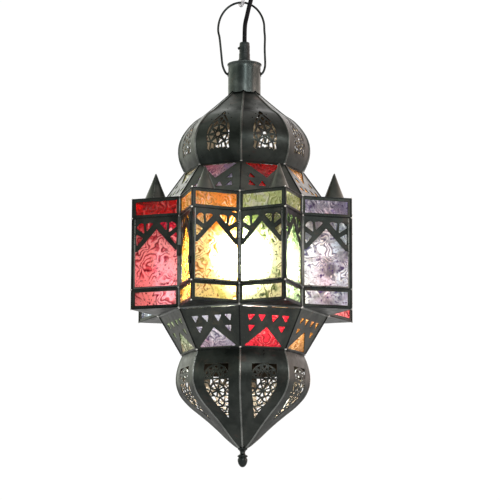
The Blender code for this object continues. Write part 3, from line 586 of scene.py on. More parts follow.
def thick(me, thickness, inner=0, rim=0, width=0.0, segments=1):
    """The mesh with sheet thickness behind it and its rims eased."""
    ob = bpy.data.objects.new("thick", me)
    LINK(ob)
    mod = ob.modifiers.new("sheet", "SOLIDIFY")
    mod.thickness = thickness * MM
    mod.offset = -1.0
    mod.use_even_offset = False
    mod.use_quality_normals = True
    mod.material_offset = inner
    mod.material_offset_rim = rim
    if width:
        bev = ob.modifiers.new("ease", "BEVEL")
        bev.width = width * MM
        bev.segments = segments
        bev.limit_method = "ANGLE"
        bev.angle_limit = math.radians(55)
        bev.use_clamp_overlap = True
    # the evaluated mesh needs as many slots as the offsets reach
    while len(me.materials) <= max(inner, rim):
        me.materials.append(None)
    out = mesh_of(ob)
    bpy.data.objects.remove(ob)
    return out


def tube_mesh(points, radius, steps=8, caps=True, closed=False, taper=None):
    """A round bar along points (mm); parallel frames, no twist."""
    bm = bmesh.new()
    pts = [Vector(p) for p in points]
    n = len(pts)
    tangents = []
    for i in range(n):
        a = pts[i - 1] if (i > 0 or closed) else pts[i]
        b = pts[(i + 1) % n] if (i < n - 1 or closed) else pts[i]
        tangents.append((b - a).normalized())
    side = tangents[0].orthogonal().normalized()
    rings = []
    for i, (p, t) in enumerate(zip(pts, tangents)):
        side = (side - t * side.dot(t)).normalized()
        other = t.cross(side)
        r = radius * (taper[i] if taper else 1.0)
        rings.append([bm.verts.new((p + (side * math.cos(a) + other * math.sin(a)) * r) * MM)
                      for a in (2 * math.pi * k / steps for k in range(steps))])
    last = n if closed else n - 1
    for i in range(last):
        a, b = rings[i], rings[(i + 1) % n]
        for k in range(steps):
            f = bm.faces.new((a[k], a[(k + 1) % steps], b[(k + 1) % steps], b[k]))
            f.smooth = True
    if caps and not closed:
        bm.faces.new(list(reversed(rings[0])))
        bm.faces.new(rings[-1])
    bmesh.ops.recalc_face_normals(bm, faces=bm.faces)
    me = bpy.data.meshes.new("tube")
    bm.to_mesh(me)
    bm.free()
    return me


def turned_mesh(profile, steps, closed=False, at=(0.0, 0.0), smooth=35.0):
    """A profile (radius, height in mm) turned about Z."""
    bm = bmesh.new()
    cols = []
    for k in range(steps):
        a = 2 * math.pi * k / steps
        cols.append([bm.verts.new(((r * math.cos(a) + at[0]) * MM,
                                   (r * math.sin(a) + at[1]) * MM, z * MM))
                     for r, z in profile])
    count = len(profile)
    for k in range(steps):
        a, b = cols[k], cols[(k + 1) % steps]
        for i in range(count if closed else count - 1):
            j = (i + 1) % count
            bm.faces.new((a[i], a[j], b[j], b[i]))
    weld(bm, 1e-6)
    bmesh.ops.recalc_face_normals(bm, faces=bm.faces)
    me = bpy.data.meshes.new("turned")
    bm.to_mesh(me)
    bm.free()
    me.shade_smooth()
    me.set_sharp_from_angle(angle=math.radians(smooth))
    return me


def bar(matrix, x0, x1, v0, v1, n0, n1, ease=0.25):
    """A small bar with eased edges in a panel's frame, as a mesh."""
    bm = bmesh.new()
    bmesh.ops.create_cube(bm, size=1.0, matrix=matrix
                          @ Matrix.Translation(Vector(((x0 + x1) / 2, (v0 + v1) / 2,
                                                       (n0 + n1) / 2)) * MM)
                          @ Matrix.Diagonal(Vector(((x1 - x0) * MM, (v1 - v0) * MM,
                                                    (n1 - n0) * MM, 1))))
    bmesh.ops.bevel(bm, geom=list(bm.edges), offset=ease * MM, segments=2,
                    affect="EDGES", profile=0.6)
    for f in bm.faces:
        f.smooth = True
    me = bpy.data.meshes.new("bar")
    bm.to_mesh(me)
    bm.free()
    return me


def blob(centre, radius, flat=0.8, seed=0.0):
    """A bead of solder: a round drop, slightly uneven."""
    bm = bmesh.new()
    bmesh.ops.create_icosphere(bm, subdivisions=2, radius=radius * MM)
    c = Vector(centre)
    for v in bm.verts:
        k = 1.0 + 0.16 * noise.noise(v.co * 900 + Vector((seed, seed * 1.7, 3.1)))
        v.co = Vector((v.co.x * k, v.co.y * k, v.co.z * flat * k)) + c * MM
    for f in bm.faces:
        f.smooth = True
    me = bpy.data.meshes.new("bead")
    bm.to_mesh(me)
    bm.free()
    return me


def to_mesh(bm, name):
    me = bpy.data.meshes.new(name)
    bm.to_mesh(me)
    bm.free()
    return me


# ----------------------------------------------------------------------
# Flex, from its grip up past the bail into the ceiling rose
# ----------------------------------------------------------------------
def cord_route():
    x, y = 12.0, -10.5
    pts = [(0.0, 0.0, -97.6), (0.0, -0.1, -90.0), (0.6, -1.6, -73.5),
           (3.6, -5.2, -60.5), (6.4, -7.8, -49.0), (8.8, -9.4, -40.5),
           (11.4, -10.3, -30.0), (x, y, -22.0), (x, y, -16.0)]
    return spaced(catmull(pts, 6), 3.0)


route = cord_route()
cord_length = sum((b - a).length for a, b in zip(route, route[1:])) * MM
cord = bpy.data.objects.new("flex", tube_mesh(route, 3.0, 20))
LINK(cord)
cord.data.materials.append(CABLE)
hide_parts("cord")
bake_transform(cord)

# ----------------------------------------------------------------------
# Ceiling rose, clear hook, bail
# ----------------------------------------------------------------------
bm = bmesh.new()
add_mesh(bm, turned_mesh([(0, 0), (37.6, 0), (39.2, -0.5), (40.0, -1.8), (40.0, -8.6),
                          (39.6, -10.4), (37.6, -15.2), (35.0, -18.6), (31.4, -21.2),
                          (27.6, -22.9), (24.2, -23.8), (17.0, -24.0)], 64))
rose_bottom = flat_fill([disc(0, 0, 17.02, 64), disc(12.0, -10.5, 3.6, 24)])
for v in rose_bottom.vertices:
    v.co.z = -24.0 * MM
rose_bottom.flip_normals()
add_mesh(bm, rose_bottom)
add_mesh(bm, turned_mesh([(3.6, -24.0), (4.6, -24.9), (5.0, -24.2), (4.9, -23.6)], 24,
                         closed=True, at=(12.0, -10.5)))
for s in (-1, 1):
    add_mesh(bm, turned_mesh([(0, -23.0), (2.6, -23.0), (2.6, -24.6), (1.9, -25.3),
                              (0, -25.5)], 18, at=(s * 19.5 - 1.0, s * 8.0 + 2.0)), index=1)
weld(bm, 1e-6)
rose = piece("rose", to_mesh(bm, "rose"), [HANGER, STEEL], "hanger", "hanger_black",
             "ceiling_rose")


def hook_route():
    ax, az = BAIL_APEX
    h = Vector((-0.46, 0.888, 0.0))
    centre = Vector((ax, 0, az))
    wide, deep = 5.0, BAIL_WIRE + 2.4 + GAP
    pts = [Vector((-0.7, -6.0, -24.3)), Vector((-1.1, -5.8, -29.5)),
           Vector((-1.6, -5.2, -34.8))]
    for k in range(0, 9):
        a = math.radians(-8 + 188 * k / 8)
        pts.append(centre - h * wide * math.cos(a) - Vector((0, 0, 1)) * deep * math.sin(a))
    pts.append(pts[-1] + Vector((-0.3, 0.6, 2.2)))
    return spaced(catmull(pts, 6), 0.8)


hook_pts = hook_route()
n_hook = len(hook_pts)
taper = [1.0 if i < n_hook - 4 else math.sqrt(max(0.08, 1 - ((i - n_hook + 5) / 5) ** 2))
         for i in range(n_hook)]
hook = piece("hook", tube_mesh(hook_pts, 2.35, 16, taper=taper), [CLEAR], "hanger",
             "clear_hook", "ceiling_hook")


def bail_route():
    ax, az = BAIL_APEX
    cz = az - BAIL_ARCH[1]
    left = [(-17.0, PIVOT_Z), (-19.6, PIVOT_Z), (-22.4, PIVOT_Z + 0.1),
            (-25.6, PIVOT_Z + 2.5), (-28.2, PIVOT_Z + 7.6), (-30.4, -127.9),
            (-32.2, -110.8), (-34.4, -91.0)]
    right = [(27.9, -91.0), (27.7, -108.0), (28.4, -127.9),
             (27.4, PIVOT_Z + 7.6), (25.2, PIVOT_Z + 2.5),
             (22.4, PIVOT_Z + 0.1), (19.6, PIVOT_Z), (17.0, PIVOT_Z)]
    arch = []
    for k in range(0, 13):
        a = math.radians(184 - 188 * k / 12)
        arch.append((ax + BAIL_ARCH[0] * math.cos(a), cz + BAIL_ARCH[1] * math.sin(a)))
    return spaced(catmull([Vector((x, 0, z)) for x, z in left + arch + right], 8), 1.6)


bail = piece("bail", tube_mesh(bail_route(), BAIL_WIRE, 14), [WIRE], "hanger",
             "black_wire", "bail_handle")

# ----------------------------------------------------------------------
# Flex grip, collar, lamp parts
# ----------------------------------------------------------------------
grip_profile = [(3.3, -97.7), (5.2, -97.7), (6.3, -98.1), (6.9, -99.0), (7.05, -102.0)]
for k in range(5):                       # fine moulded ribs below the mouth
    z = -103.0 - k * 1.9
    grip_profile += [(7.05, z), (7.35, z - 0.35), (7.35, z - 1.0), (7.05, z - 1.35)]
grip_profile += [(7.1, -113.2), (7.5, -113.7), (7.6, -114.6), (7.6, -121.0),
                 (7.9, -121.8), (8.5, -122.5), (8.75, -123.4), (8.75, -127.3),
                 (8.5, -127.9), (5.4, -128.0)]
bm = bmesh.new()
add_mesh(bm, turned_mesh(grip_profile, 40), index=0)
screw = turned_mesh([(0, 0.0), (1.3, 0.0), (1.9, 0.5), (1.9, 2.6), (0, 2.6)], 16)
add_mesh(bm, screw, Matrix.Translation(Vector((-9.0, -1.6, -106.4)) * MM)
         @ Matrix.Rotation(math.radians(90), 4, "Y"), index=1)
add_mesh(bm, bar(Matrix.Translation(Vector((-9.15, -1.6, -106.4)) * MM), -0.25, 0.25,
                 -1.5, 1.5, -0.3, 0.3, 0.05), index=1)
grip = piece("flex_grip", to_mesh(bm, "flex_grip"), [BLACK, WIRE], "lantern",
             "black_plastic", "cord_grip")


def collar_mesh():
    """Rolled sleeve with a curled top lip and a scalloped foot."""
    steps = 96
    bm = bmesh.new()
    R, T = COLLAR_R, COLLAR_TOP
    profile = [(7.0, T - 0.2), (17.0, T - 0.2), (R - 1.6, T - 0.1), (R - 0.4, T),
               (R + 0.7, T - 0.1), (R + 1.25, T - 0.6), (R + 1.35, T - 1.4),
               (R + 1.05, T - 2.2), (R + 0.35, T - 2.8), (R, T - 3.6)]
    profile += [(R, T - 3.6 - (COLLAR_BOTTOM + 5.0 - T + 3.6) * -k / 10)
                for k in range(1, 11)]
    rows = []
    for k in range(steps):
        a = 2 * math.pi * k / steps
        plan_angle = math.degrees(math.atan2(math.cos(a), -math.sin(a)))
        near = abs((plan_angle + 22.5) % 45.0 - 22.5) / 22.5      # 0 on a ridge
        foot = COLLAR_BOTTOM + 0.3 + 2.6 * max(0.0, 1 - near * 1.8) ** 1.5
        pts = profile + [(R, (COLLAR_BOTTOM + 5.0 + foot) / 2), (R, foot),
                         (R - 0.9, foot), (R - 0.9, COLLAR_BOTTOM + 8),
                         (R - 0.9, T - 1.4), (7.0, T - 1.4)]
        rows.append([bm.verts.new((r * math.cos(a) * MM, r * math.sin(a) * MM, z * MM))
                     for r, z in pts])
    count = len(rows[0])
    for k in range(steps):
        a, b = rows[k], rows[(k + 1) % steps]
        for i in range(count):
            j = (i + 1) % count
            bm.faces.new((a[i], a[j], b[j], b[i]))
    bmesh.ops.recalc_face_normals(bm, faces=bm.faces)
    me = to_mesh(bm, "collar")
    me.shade_smooth()
    me.set_sharp_from_angle(angle=math.radians(40))
    return me


collar = piece("collar_sleeve", collar_mesh(), [IRON_TUBE], "lantern", "aged_iron", "collar")
# two small washers where the bail's wire enters the collar
bm = bmesh.new()
for s in (-1, 1):
    ring = turned_mesh([(1.75, 0.0), (3.1, 0.0), (3.3, 0.35), (3.1, 0.7), (1.75, 0.7)],
                       24, closed=True)
    add_mesh(bm, ring, Matrix.Translation(Vector((s * (COLLAR_R + 0.05), 0, PIVOT_Z)) * MM)
             @ Matrix.Rotation(math.radians(90 * s), 4, "Y"))
eyes = piece("bail_eyelets", to_mesh(bm, "bail_eyelets"), [IRON_DARK], "lantern",
             "aged_iron")

# threaded tube: a rolled thread along its length
bm = bmesh.new()
thread = [(3.6, -119.8)]
z = -119.8
while z > -305.0:
    thread += [(4.75, z - 0.1), (5.0, z - 0.5), (4.75, z - 0.9)]
    z -= 1.0
thread += [(4.75, -305.9), (3.6, -305.9)]
add_mesh(bm, turned_mesh(thread, 20, closed=True, smooth=80))
tube = piece("threaded_tube", to_mesh(bm, "threaded_tube"), [STEEL], "lantern",
             "threaded_steel", "lamp_tube")

holder_profile = [(5.4, -300.0), (11.8, -300.0), (13.2, -300.5), (15.5, -302.8),
                  (18.4, -305.8), (19.0, -307.2), (19.0, -314.0)]
for k in range(5):
    z = -314.5 - 2.6 * k
    holder_profile += [(19.0, z), (19.5, z - 0.4), (19.5, z - 1.5), (19.0, z - 1.9)]
holder_profile += [(19.0, -329.5), (20.0, -330.4), (20.8, -332.6), (20.8, -346.4),
                   (20.2, -347.4), (15.4, -347.5), (15.0, -346.8), (15.0, -312.5),
                   (5.4, -312.5)]
holder = piece("bulb_holder", turned_mesh(holder_profile, 48, closed=True), [BLACK],
               "lantern", "black_plastic", "lamp_holder")

cap_profile = [(0, -314.2), (4.2, -314.6), (5.0, -315.6), (8.6, -317.2), (11.4, -318.6)]
for k in range(5):                                       # rolled screw thread
    z = -320.0 - 3.6 * k
    cap_profile += [(11.9, z), (12.6, z - 0.9), (12.6, z - 1.8), (11.9, z - 2.8)]
cap_profile += [(12.2, -338.6), (12.6, -340.6), (13.3, -343.6), (0, -343.6)]
cap = piece("screw_cap", turned_mesh(cap_profile, 40), [CAP], "bulb", "bulb_cap",
            "bulb_cap")

bulb_line = catmull([Vector((r, 0, z)) for r, z in
                     ((12.6, -343.9), (13.8, -349.5), (17.4, -358.5), (22.6, -368.5),
                      (27.2, -379.0), (29.7, -390.5), (29.6, -401.5), (26.0, -412.6),
                      (18.4, -421.0), (9.6, -425.8), (0.0, -427.6))], 3)
bulb = piece("frosted_bulb", turned_mesh([(max(p.x, 0.0), p.z) for p in bulb_line], 48,
                                         smooth=80), [LAMP], "bulb", "lamp_glass",
             "bulb_glass")

# ----------------------------------------------------------------------
# Domes: eight bent gores, pierced, with a raised seam on every corner
# ----------------------------------------------------------------------
K8, S8 = math.cos(math.pi / SIDES), math.sin(math.pi / SIDES)


class Gore:
    """Bends a flat strip (u, s) onto a dome's side."""

    def __init__(self, profile, camber):
        line = catmull([Vector((r, 0, z)) for r, z in profile], 6)
        self.camber = camber
        self.r = [p.x for p in line]
        self.z = [p.z for p in line]
        self.s = [0.0]
        for a, b in zip(line, line[1:]):
            self.s.append(self.s[-1] + math.hypot((b.x - a.x) * K8, b.z - a.z))
        self.length = self.s[-1]

    def at(self, s):
        s = min(max(s, 0.0), self.length)
        for i in range(len(self.s) - 1):
            if s <= self.s[i + 1] or i == len(self.s) - 2:
                t = (s - self.s[i]) / max(self.s[i + 1] - self.s[i], 1e-9)
                r = self.r[i] + (self.r[i + 1] - self.r[i]) * t
                z = self.z[i] + (self.z[i + 1] - self.z[i]) * t
                j0, j1 = max(i - 1, 0), min(i + 2, len(self.s) - 1)
                dr = (self.r[j1] - self.r[j0]) * K8
                dz = self.z[j1] - self.z[j0]
                d = math.hypot(dr, dz)
                return r, z, dr / d, dz / d
        return self.r[-1], self.z[-1], 0.0, -1.0

    def half(self, s):
        return self.at(s)[0] * S8

    def place(self, angle, u, s, depth=0.0):
        r, z, dr, dz = self.at(s)
        w = r * S8
        lift = self.camber * max(0.0, 1 - (u / w) ** 2) * min(1.0, w / 24.0)
        a = math.radians(angle)
        out = Vector((math.sin(a), -math.cos(a), 0))
        across = Vector((math.cos(a), math.sin(a), 0))
        normal = Vector((0, 0, 1)) * dr - out * dz
        return (out * r * K8 + across * u + Vector((0, 0, z)) + normal * (lift + depth)) * MM

    def strip(self, holes, step=2.6, columns=(-24, -18, -12, -6, 0, 6, 12, 18, 24)):
        """The flat strip with its holes, cut into rows and columns."""
        count = int(self.length / 2.2)
        side = [self.length * k / count for k in range(count + 1)]
        rim = [(-self.half(s), -s) for s in side]
        rim += [(self.half(s), -s) for s in reversed(side)]
        outlines = [rim] + [[(x, -s) for x, s in pts] for pts in holes]
        me = flat_fill(outlines)
        bm = bmesh.new()
        bm.from_mesh(me)
        for k in range(1, int(self.length / step)):
            bmesh.ops.bisect_plane(bm, geom=bm.verts[:] + bm.edges[:] + bm.faces[:],
                                   dist=1e-7, plane_co=(0, -k * step * MM, 0),
                                   plane_no=(0, 1, 0))
        for x in columns:
            bmesh.ops.bisect_plane(bm, geom=bm.verts[:] + bm.edges[:] + bm.faces[:],
                                   dist=1e-7, plane_co=(x * MM, 0, 0),
                                   plane_no=(1, 0, 0))
        weld(bm, 1e-7)
        bm.to_mesh(me)
        bm.free()
        return me

    def dome(self, name, holes):
        flat = self.strip(holes)
        local = [(v.co.x / MM, -v.co.y / MM) for v in flat.vertices]
        bm = bmesh.new()
        for k in range(SIDES):
            me = flat.copy()
            for v, (u, s) in zip(me.vertices, local):
                v.co = self.place((k + 0.5) * STEP, u, s)
            add_mesh(bm, me)
        me = to_mesh(bm, name)
        me = thick(me, SHEET, inner=1, rim=2)
        me.shade_smooth()
        me.set_sharp_from_angle(angle=math.radians(38))
        return me

    def rib(self, bm, angle, a, b, width, index=0, top=-0.10, bottom=-0.74):
        """A thin flat rib of the lace from a to b, bent with the side."""
        a, b = Vector(a), Vector(b)
        d = b - a
        n = max(1, int(d.length / 3.0))
        side = Vector((-d.y, d.x)).normalized() * (width / 2)
        rows = []
        for i in range(n + 1):
            p = a + d * (i / n)
            l, r = p + side, p - side
            rows.append([bm.verts.new(self.place(angle, l.x, l.y, top)),
                         bm.verts.new(self.place(angle, r.x, r.y, top)),
                         bm.verts.new(self.place(angle, r.x, r.y, bottom)),
                         bm.verts.new(self.place(angle, l.x, l.y, bottom))])
        for x, y in zip(rows, rows[1:]):
            for k in range(4):
                f = bm.faces.new((y[k], y[(k + 1) % 4], x[(k + 1) % 4], x[k]))
                f.material_index = 1 if k == 2 else index      # the back is tinned
        bm.faces.new(rows[0]).material_index = index
        bm.faces.new(rows[-1][::-1]).material_index = index

    def seam_points(self, angle, out=0.0, step=2.4):
        pts = []
        count = int(self.length / step)
        for k in range(count + 1):
            r, z, dr, dz = self.at(self.length * k / count)
            pts.append((plan(r + out, angle, z)) / MM)
        return pts


def arc(cu, cs, radius, start, end, steps):
    """Points on an arc, angles in degrees from up (towards smaller s)."""
    return [(cu + radius * math.sin(math.radians(start + (end - start) * k / steps)),
             cs - radius * math.cos(math.radians(start + (end - start) * k / steps)))
            for k in range(steps + 1)]


def both_sides(lines):
    return lines + [[(-u, s) for u, s in pts] for pts in lines]


def upper_lace():
    """A pear-shaped opening: a rosette with zigzag rays in its belly, pointed
    arches in its neck, a fringe of triangles along its foot."""
    c = 98.0
    half = [(0.0, 55.5), (2.6, 60.0), (3.2, 64.0), (5.6, 68.2), (9.4, 74.0), (13.0, 81.0),
            (15.6, 89.0), (16.6, 97.5), (16.6, 106.0), (15.2, 112.0), (16.4, 117.0),
            (12.6, 119.6), (9.2, 116.2), (6.0, 118.6), (3.0, 115.2), (0.0, 117.4)]
    outline = half + [(-u, s) for u, s in reversed(half[1:-1])]
    lines = [arc(0, c, 4.3, 22.5, 382.5, 8), arc(0, c, 14.6, 0, 360, 8)]
    for k in range(8):
        inner = arc(0, c, 4.3, 22.5 + 45 * k, 0, 1)[0]
        for turn in (0, 45):
            lines.append([inner, arc(0, c, 14.6, 45 * k + turn, 0, 1)[0]])
    lines += both_sides([
        [(0.0, 66.5), (4.4, 73.0), (9.6, 79.8)],
        [(4.4, 73.0), (0.0, 81.8)],
        [(-3.6, 65.4), (3.6, 65.4)],
        [(9.6, 79.8), (10.3, 87.7)],
        [(9.6, 79.8), (13.4, 80.4)],
        [(10.3, 108.3), (12.6, 118.8)],
        [(10.3, 108.3), (16.8, 106.6)],
        [(5.2, 110.4), (5.6, 118.4)],
        [(14.6, 98.0), (17.0, 98.0)],
    ])
    return [outline], [disc(0, 34.5, 0.9, 8), disc(0, 46.0, 1.1, 8),
                       disc(7.6, 63.5, 1.0, 8), disc(-7.6, 63.5, 1.0, 8),
                       disc(14.4, 72.5, 1.0, 8), disc(-14.4, 72.5, 1.0, 8)], lines, 0.0, c


def lower_lace():
    """A shield: an arch of zigzags on top, a wheel with a solid hub, lozenges
    down to the tip."""
    c = 57.2
    half = [(0.0, 21.4), (17.6, 21.0), (17.8, 34.0), (17.6, 46.0), (16.2, 55.0),
            (13.4, 64.0), (10.4, 73.0), (7.4, 82.5), (4.4, 91.5), (2.3, 98.5), (0.0, 104.6)]
    outline = half + [(-u, s) for u, s in reversed(half[1:-1])]
    hub = 41.0
    lines = [arc(0, hub, 18.2, -90, 90, 10), arc(0, hub, 10.4, -90, 90, 8),
             [(-17.8, 41.2), (17.8, 41.2)],
             arc(0, c, 10.4, 0, 360, 16)]
    for k in range(6):
        a0, a1 = -75 + 30 * k, -60 + 30 * k
        lines.append([arc(0, hub, 18.2, a0, 0, 1)[0], arc(0, hub, 10.4, a1, 0, 1)[0]])
        lines.append([arc(0, hub, 18.2, a0, 0, 1)[0], arc(0, hub, 10.4, a1 - 30, 0, 1)[0]])
    for k in range(8):
        a = 22.5 + 45 * k
        lines.append([arc(0, c, 2.2, a, 0, 1)[0], arc(0, c, 10.4, a, 0, 1)[0]])
    lines += both_sides([
        [(0.0, 30.8), (4.6, 36.0), (5.2, 41.2), (4.6, 47.4)],
        [(5.2, 41.2), (10.4, 36.6)],
        [(9.2, 51.6), (12.2, 46.4), (17.8, 44.8)],
        [(10.4, 57.2), (16.2, 53.8)],
        [(10.4, 57.2), (14.6, 61.6)],
        [(7.6, 64.4), (13.0, 65.6)],
        [(0.0, 67.8), (5.2, 74.8), (0.0, 82.2)],
        [(5.2, 74.8), (9.9, 75.2)],
        [(0.0, 82.2), (7.2, 83.4)],
        [(0.0, 92.2), (4.6, 86.0), (7.2, 84.0)],
        [(-3.6, 94.2), (3.6, 94.2)],
    ])
    return [outline], [], lines, 2.7, c


def dome_piece(name, profile, lace, body, node, camber, rims, lift):
    gore = Gore(profile, camber)
    outlines, dots, lines, hub, hub_at = lace
    bm = bmesh.new()
    add_mesh(bm, gore.dome(name, [soft_corners(h, 0.6) for h in outlines] + dots))
    for k in range(SIDES):
        angle = (k + 0.5) * STEP
        for pts in lines:
            for a, b in zip(pts, pts[1:]):
                gore.rib(bm, angle, a, b, 2.15)
        if hub:
            for j in range(4):
                t = math.radians(45 * j)
                d = Vector((math.cos(t), math.sin(t))) * hub
                o = Vector((0.0, hub_at))
                gore.rib(bm, angle, o - d, o + d, 2 * hub * math.tan(math.radians(22.5)))
    for k in range(SIDES):
        add_mesh(bm, tube_mesh(gore.seam_points(k * STEP, lift), 1.3, 8), index=3)
    for s, radius, index in rims:
        pts = []
        for k in range(SIDES):
            for j in range(4):
                a, b = (plan(gore.at(s)[0], k * STEP), plan(gore.at(s)[0], (k + 1) * STEP))
                p = a.lerp(b, j / 4) / MM
                pts.append((p.x, p.y, gore.at(s)[1]))
        add_mesh(bm, tube_mesh(pts, radius, 8, closed=True), index=index)
    # painted shade: the lower dome's inside takes the darker copy of the tin; its seams take the lighter
    # edge iron, partly painted highlight
    inside, joint = ((TIN, IRON_JOINT) if node == "upper_dome" else (TIN_PAINTED_SHADE_LOW, IRON_WORN_EDGE_SHEEN))
    return piece(name, to_mesh(bm, name), [IRON, inside, IRON_DARK, joint], body,
                 "aged_iron", node), gore


upper, upper_gore = dome_piece("dome_upper", UPPER_DOME, upper_lace(), "lantern",
                               "upper_dome", 0.9, [], -0.1)
lower, lower_gore = dome_piece("dome_lower", LOWER_DOME, lower_lace(), "lantern",
                               "lower_dome", 0.9, [(0.8, 1.0, 2)], -0.7)

finial_line = [(4.4, -651.5), (5.4, -654.6), (6.6, -655.6), (6.2, -657.0), (4.4, -658.6),
               (3.6, -660.2), (3.7, -662.6), (4.6, -663.8), (6.4, -664.8), (6.9, -665.9),
               (6.5, -666.9), (5.5, -667.6), (6.3, -669.2), (6.7, -671.2), (6.2, -674.2),
               (5.0, -677.2), (3.2, -679.4), (1.4, -680.5), (0, -680.7)]
finial_line = [(max(p.x, 0.0), p.z) for p in
               catmull([Vector((r, 0, z)) for r, z in finial_line], 3)]
finial = piece("finial", turned_mesh([(0, -651.5)] + finial_line, 32, smooth=50), [WIRE],
               "lantern", "aged_iron", "bottom_finial")

# ----------------------------------------------------------------------
# Friezes
# ----------------------------------------------------------------------
def frieze_matrix(ring, angle, narrow_end):
    a = math.radians(angle)
    out = Vector((math.sin(a), -math.cos(a), 0))
    u = Vector((math.cos(a), math.sin(a), 0))
    narrow, wide = (ring if narrow_end == "top" else ring[::-1])
    p0 = out * narrow[0] * K8 + Vector((0, 0, narrow[1]))
    p1 = out * wide[0] * K8 + Vector((0, 0, wide[1]))
    v = (p1 - p0).normalized()
    n = u.cross(v)
    if n.dot(out) < 0:
        u, n = -u, -n
    m = Matrix((u, v, n)).transposed().to_4x4()
    m.translation = p0 * MM
    return m, (p1 - p0).length


def frieze_holes(length, narrow):
    k = length / 60.5
    base, apex = 2.6 * k, 30.3 * k
    half = narrow - 5.0
    out = [[(-half, base), (half, base), (0.0, apex)]]
    for s in (-1, 1):
        for x in (9.4, 23.8):
            xc, q0, q1 = s * x, 37.4 * k, 47.6 * k
            lean = 1.6 * (1 if x > 15 else -1) * s
            out.append([(xc - 5.3, q1), (xc + lean, q0), (xc + 5.3, q1)])
        xc, q0, q1 = s * 21.0, 22.4 * k, 32.0 * k
        out.append([(xc - 5.0, q1), (xc + 1.2 * s, q0), (xc + 5.0, q1)])
    return out


def relief(x, y, seed):
    """The glass's swirls at a place: height (mm), then how strongly it is a
    groove, a terrace's flank and a crest.  The swirls are the level lines of a
    warped field; in between the glass is only hammered."""
    p = Vector((x / 21.0 + seed * 3.7, y / 21.0 - seed * 1.9, seed * 0.61))
    w1 = noise.noise(p * 1.7 + Vector((5.2, 1.3, 0.7)))
    w2 = noise.noise(p * 1.7 + Vector((-3.1, 8.4, 2.9)))
    q = p + Vector((w1, w2, 0.0)) * 0.55
    f = noise.noise(q * 0.85) * 5.2 + 0.16 * noise.noise(p * 6.0)
    wave = math.cos(2 * math.pi * f)
    gate = min(1.0, max(0.0, noise.noise(p * 1.15 + Vector((9.1, 4.4, 7.7))) * 4.2 + 0.80))
    small = noise.noise(p * 7.5)
    height = 0.34 * wave * gate + 0.14 * small + 0.07 * noise.noise(p * 19.0)
    phase = f % 1.0
    # groove and pit feed the pane's painted shade lines, crest its painted highlight
    groove = max(0.0, 1.0 - abs(phase - 0.30) / 0.15) * (0.35 + 0.65 * gate)
    crest = max(0.0, 1.0 - abs(phase - 0.68) / 0.11) * gate
    flank = max(0.0, 1.0 - abs(phase - 0.42) / 0.30) * gate
    pit = max(0.0, min(1.0, (small - 0.36) * 6.0)) * (1.0 - 0.5 * gate)
    return height, min(1.0, max(1.1 * groove, pit)), min(1.0, 1.5 * flank), crest


class Panes:
    """Panes gathered into one mesh with their relief attributes."""

    def __init__(self):
        self.verts, self.faces, self.index, self.smooth = [], [], [], []
        self.swirl, self.band, self.crest = [], [], []

    def add(self, width_at, q0, q1, seed, matrix, front=-1.55, back=-2.75, pitch=0.85,
            index=0):
        rows = max(2, int((q1 - q0) / pitch))
        wide = max(b - a for a, b in (width_at(q0), width_at(q1)))
        cols = max(2, int(wide / pitch))
        base = len(self.verts)
        for i in range(rows + 1):
            q = q0 + (q1 - q0) * i / rows
            x0, x1 = width_at(q)
            for j in range(cols + 1):
                x = x0 + (x1 - x0) * j / cols
                h, line, band, crest = relief(x, q, seed)
                if i in (0, rows) or j in (0, cols):
                    h = 0.0
                self.verts.append(matrix @ (Vector((x, q, front + h)) * MM))
                self.swirl.append(line)
                self.band.append(band)
                self.crest.append(crest)
        w = cols + 1
        for i in range(rows):
            for j in range(cols):
                k = base + i * w + j
                self.faces.append((k, k + 1, k + w + 1, k + w))
                self.index.append(index)
                self.smooth.append(True)
        low = len(self.verts)
        (x0, x1), (y0, y1) = width_at(q0), width_at(q1)
        for x, q in ((x0, q0), (x1, q0), (y1, q1), (y0, q1)):
            self.verts.append(matrix @ (Vector((x, q, back)) * MM))
            self.swirl.append(0.0)
            self.band.append(0.0)
            self.crest.append(0.0)
        c0, c1 = base, base + cols
        c2, c3 = base + rows * w + cols, base + rows * w
        rim = [(low + 3, low + 2, low + 1, low),
               [low, low + 1] + list(range(c1, c0 - 1, -1)),
               [low + 2, low + 3] + list(range(c3, c2 + 1)),
               [low + 3, low] + list(range(c0, c3 + 1, w)),
               [low + 1, low + 2] + list(range(c2, c1 - 1, -w))]
        for f in rim:
            self.faces.append(tuple(f))
            self.index.append(1)
            self.smooth.append(False)

    def mesh(self, name):
        me = bpy.data.meshes.new(name)
        me.from_pydata(self.verts, [], self.faces)
        me.polygons.foreach_set("material_index", self.index)
        me.polygons.foreach_set("use_smooth", self.smooth)
        for tag, values in (("swirl", self.swirl), ("band", self.band),
                            ("crest", self.crest)):
            me.attributes.new(tag, "FLOAT", "POINT").data.foreach_set("value", values)
        me.update()
        return me


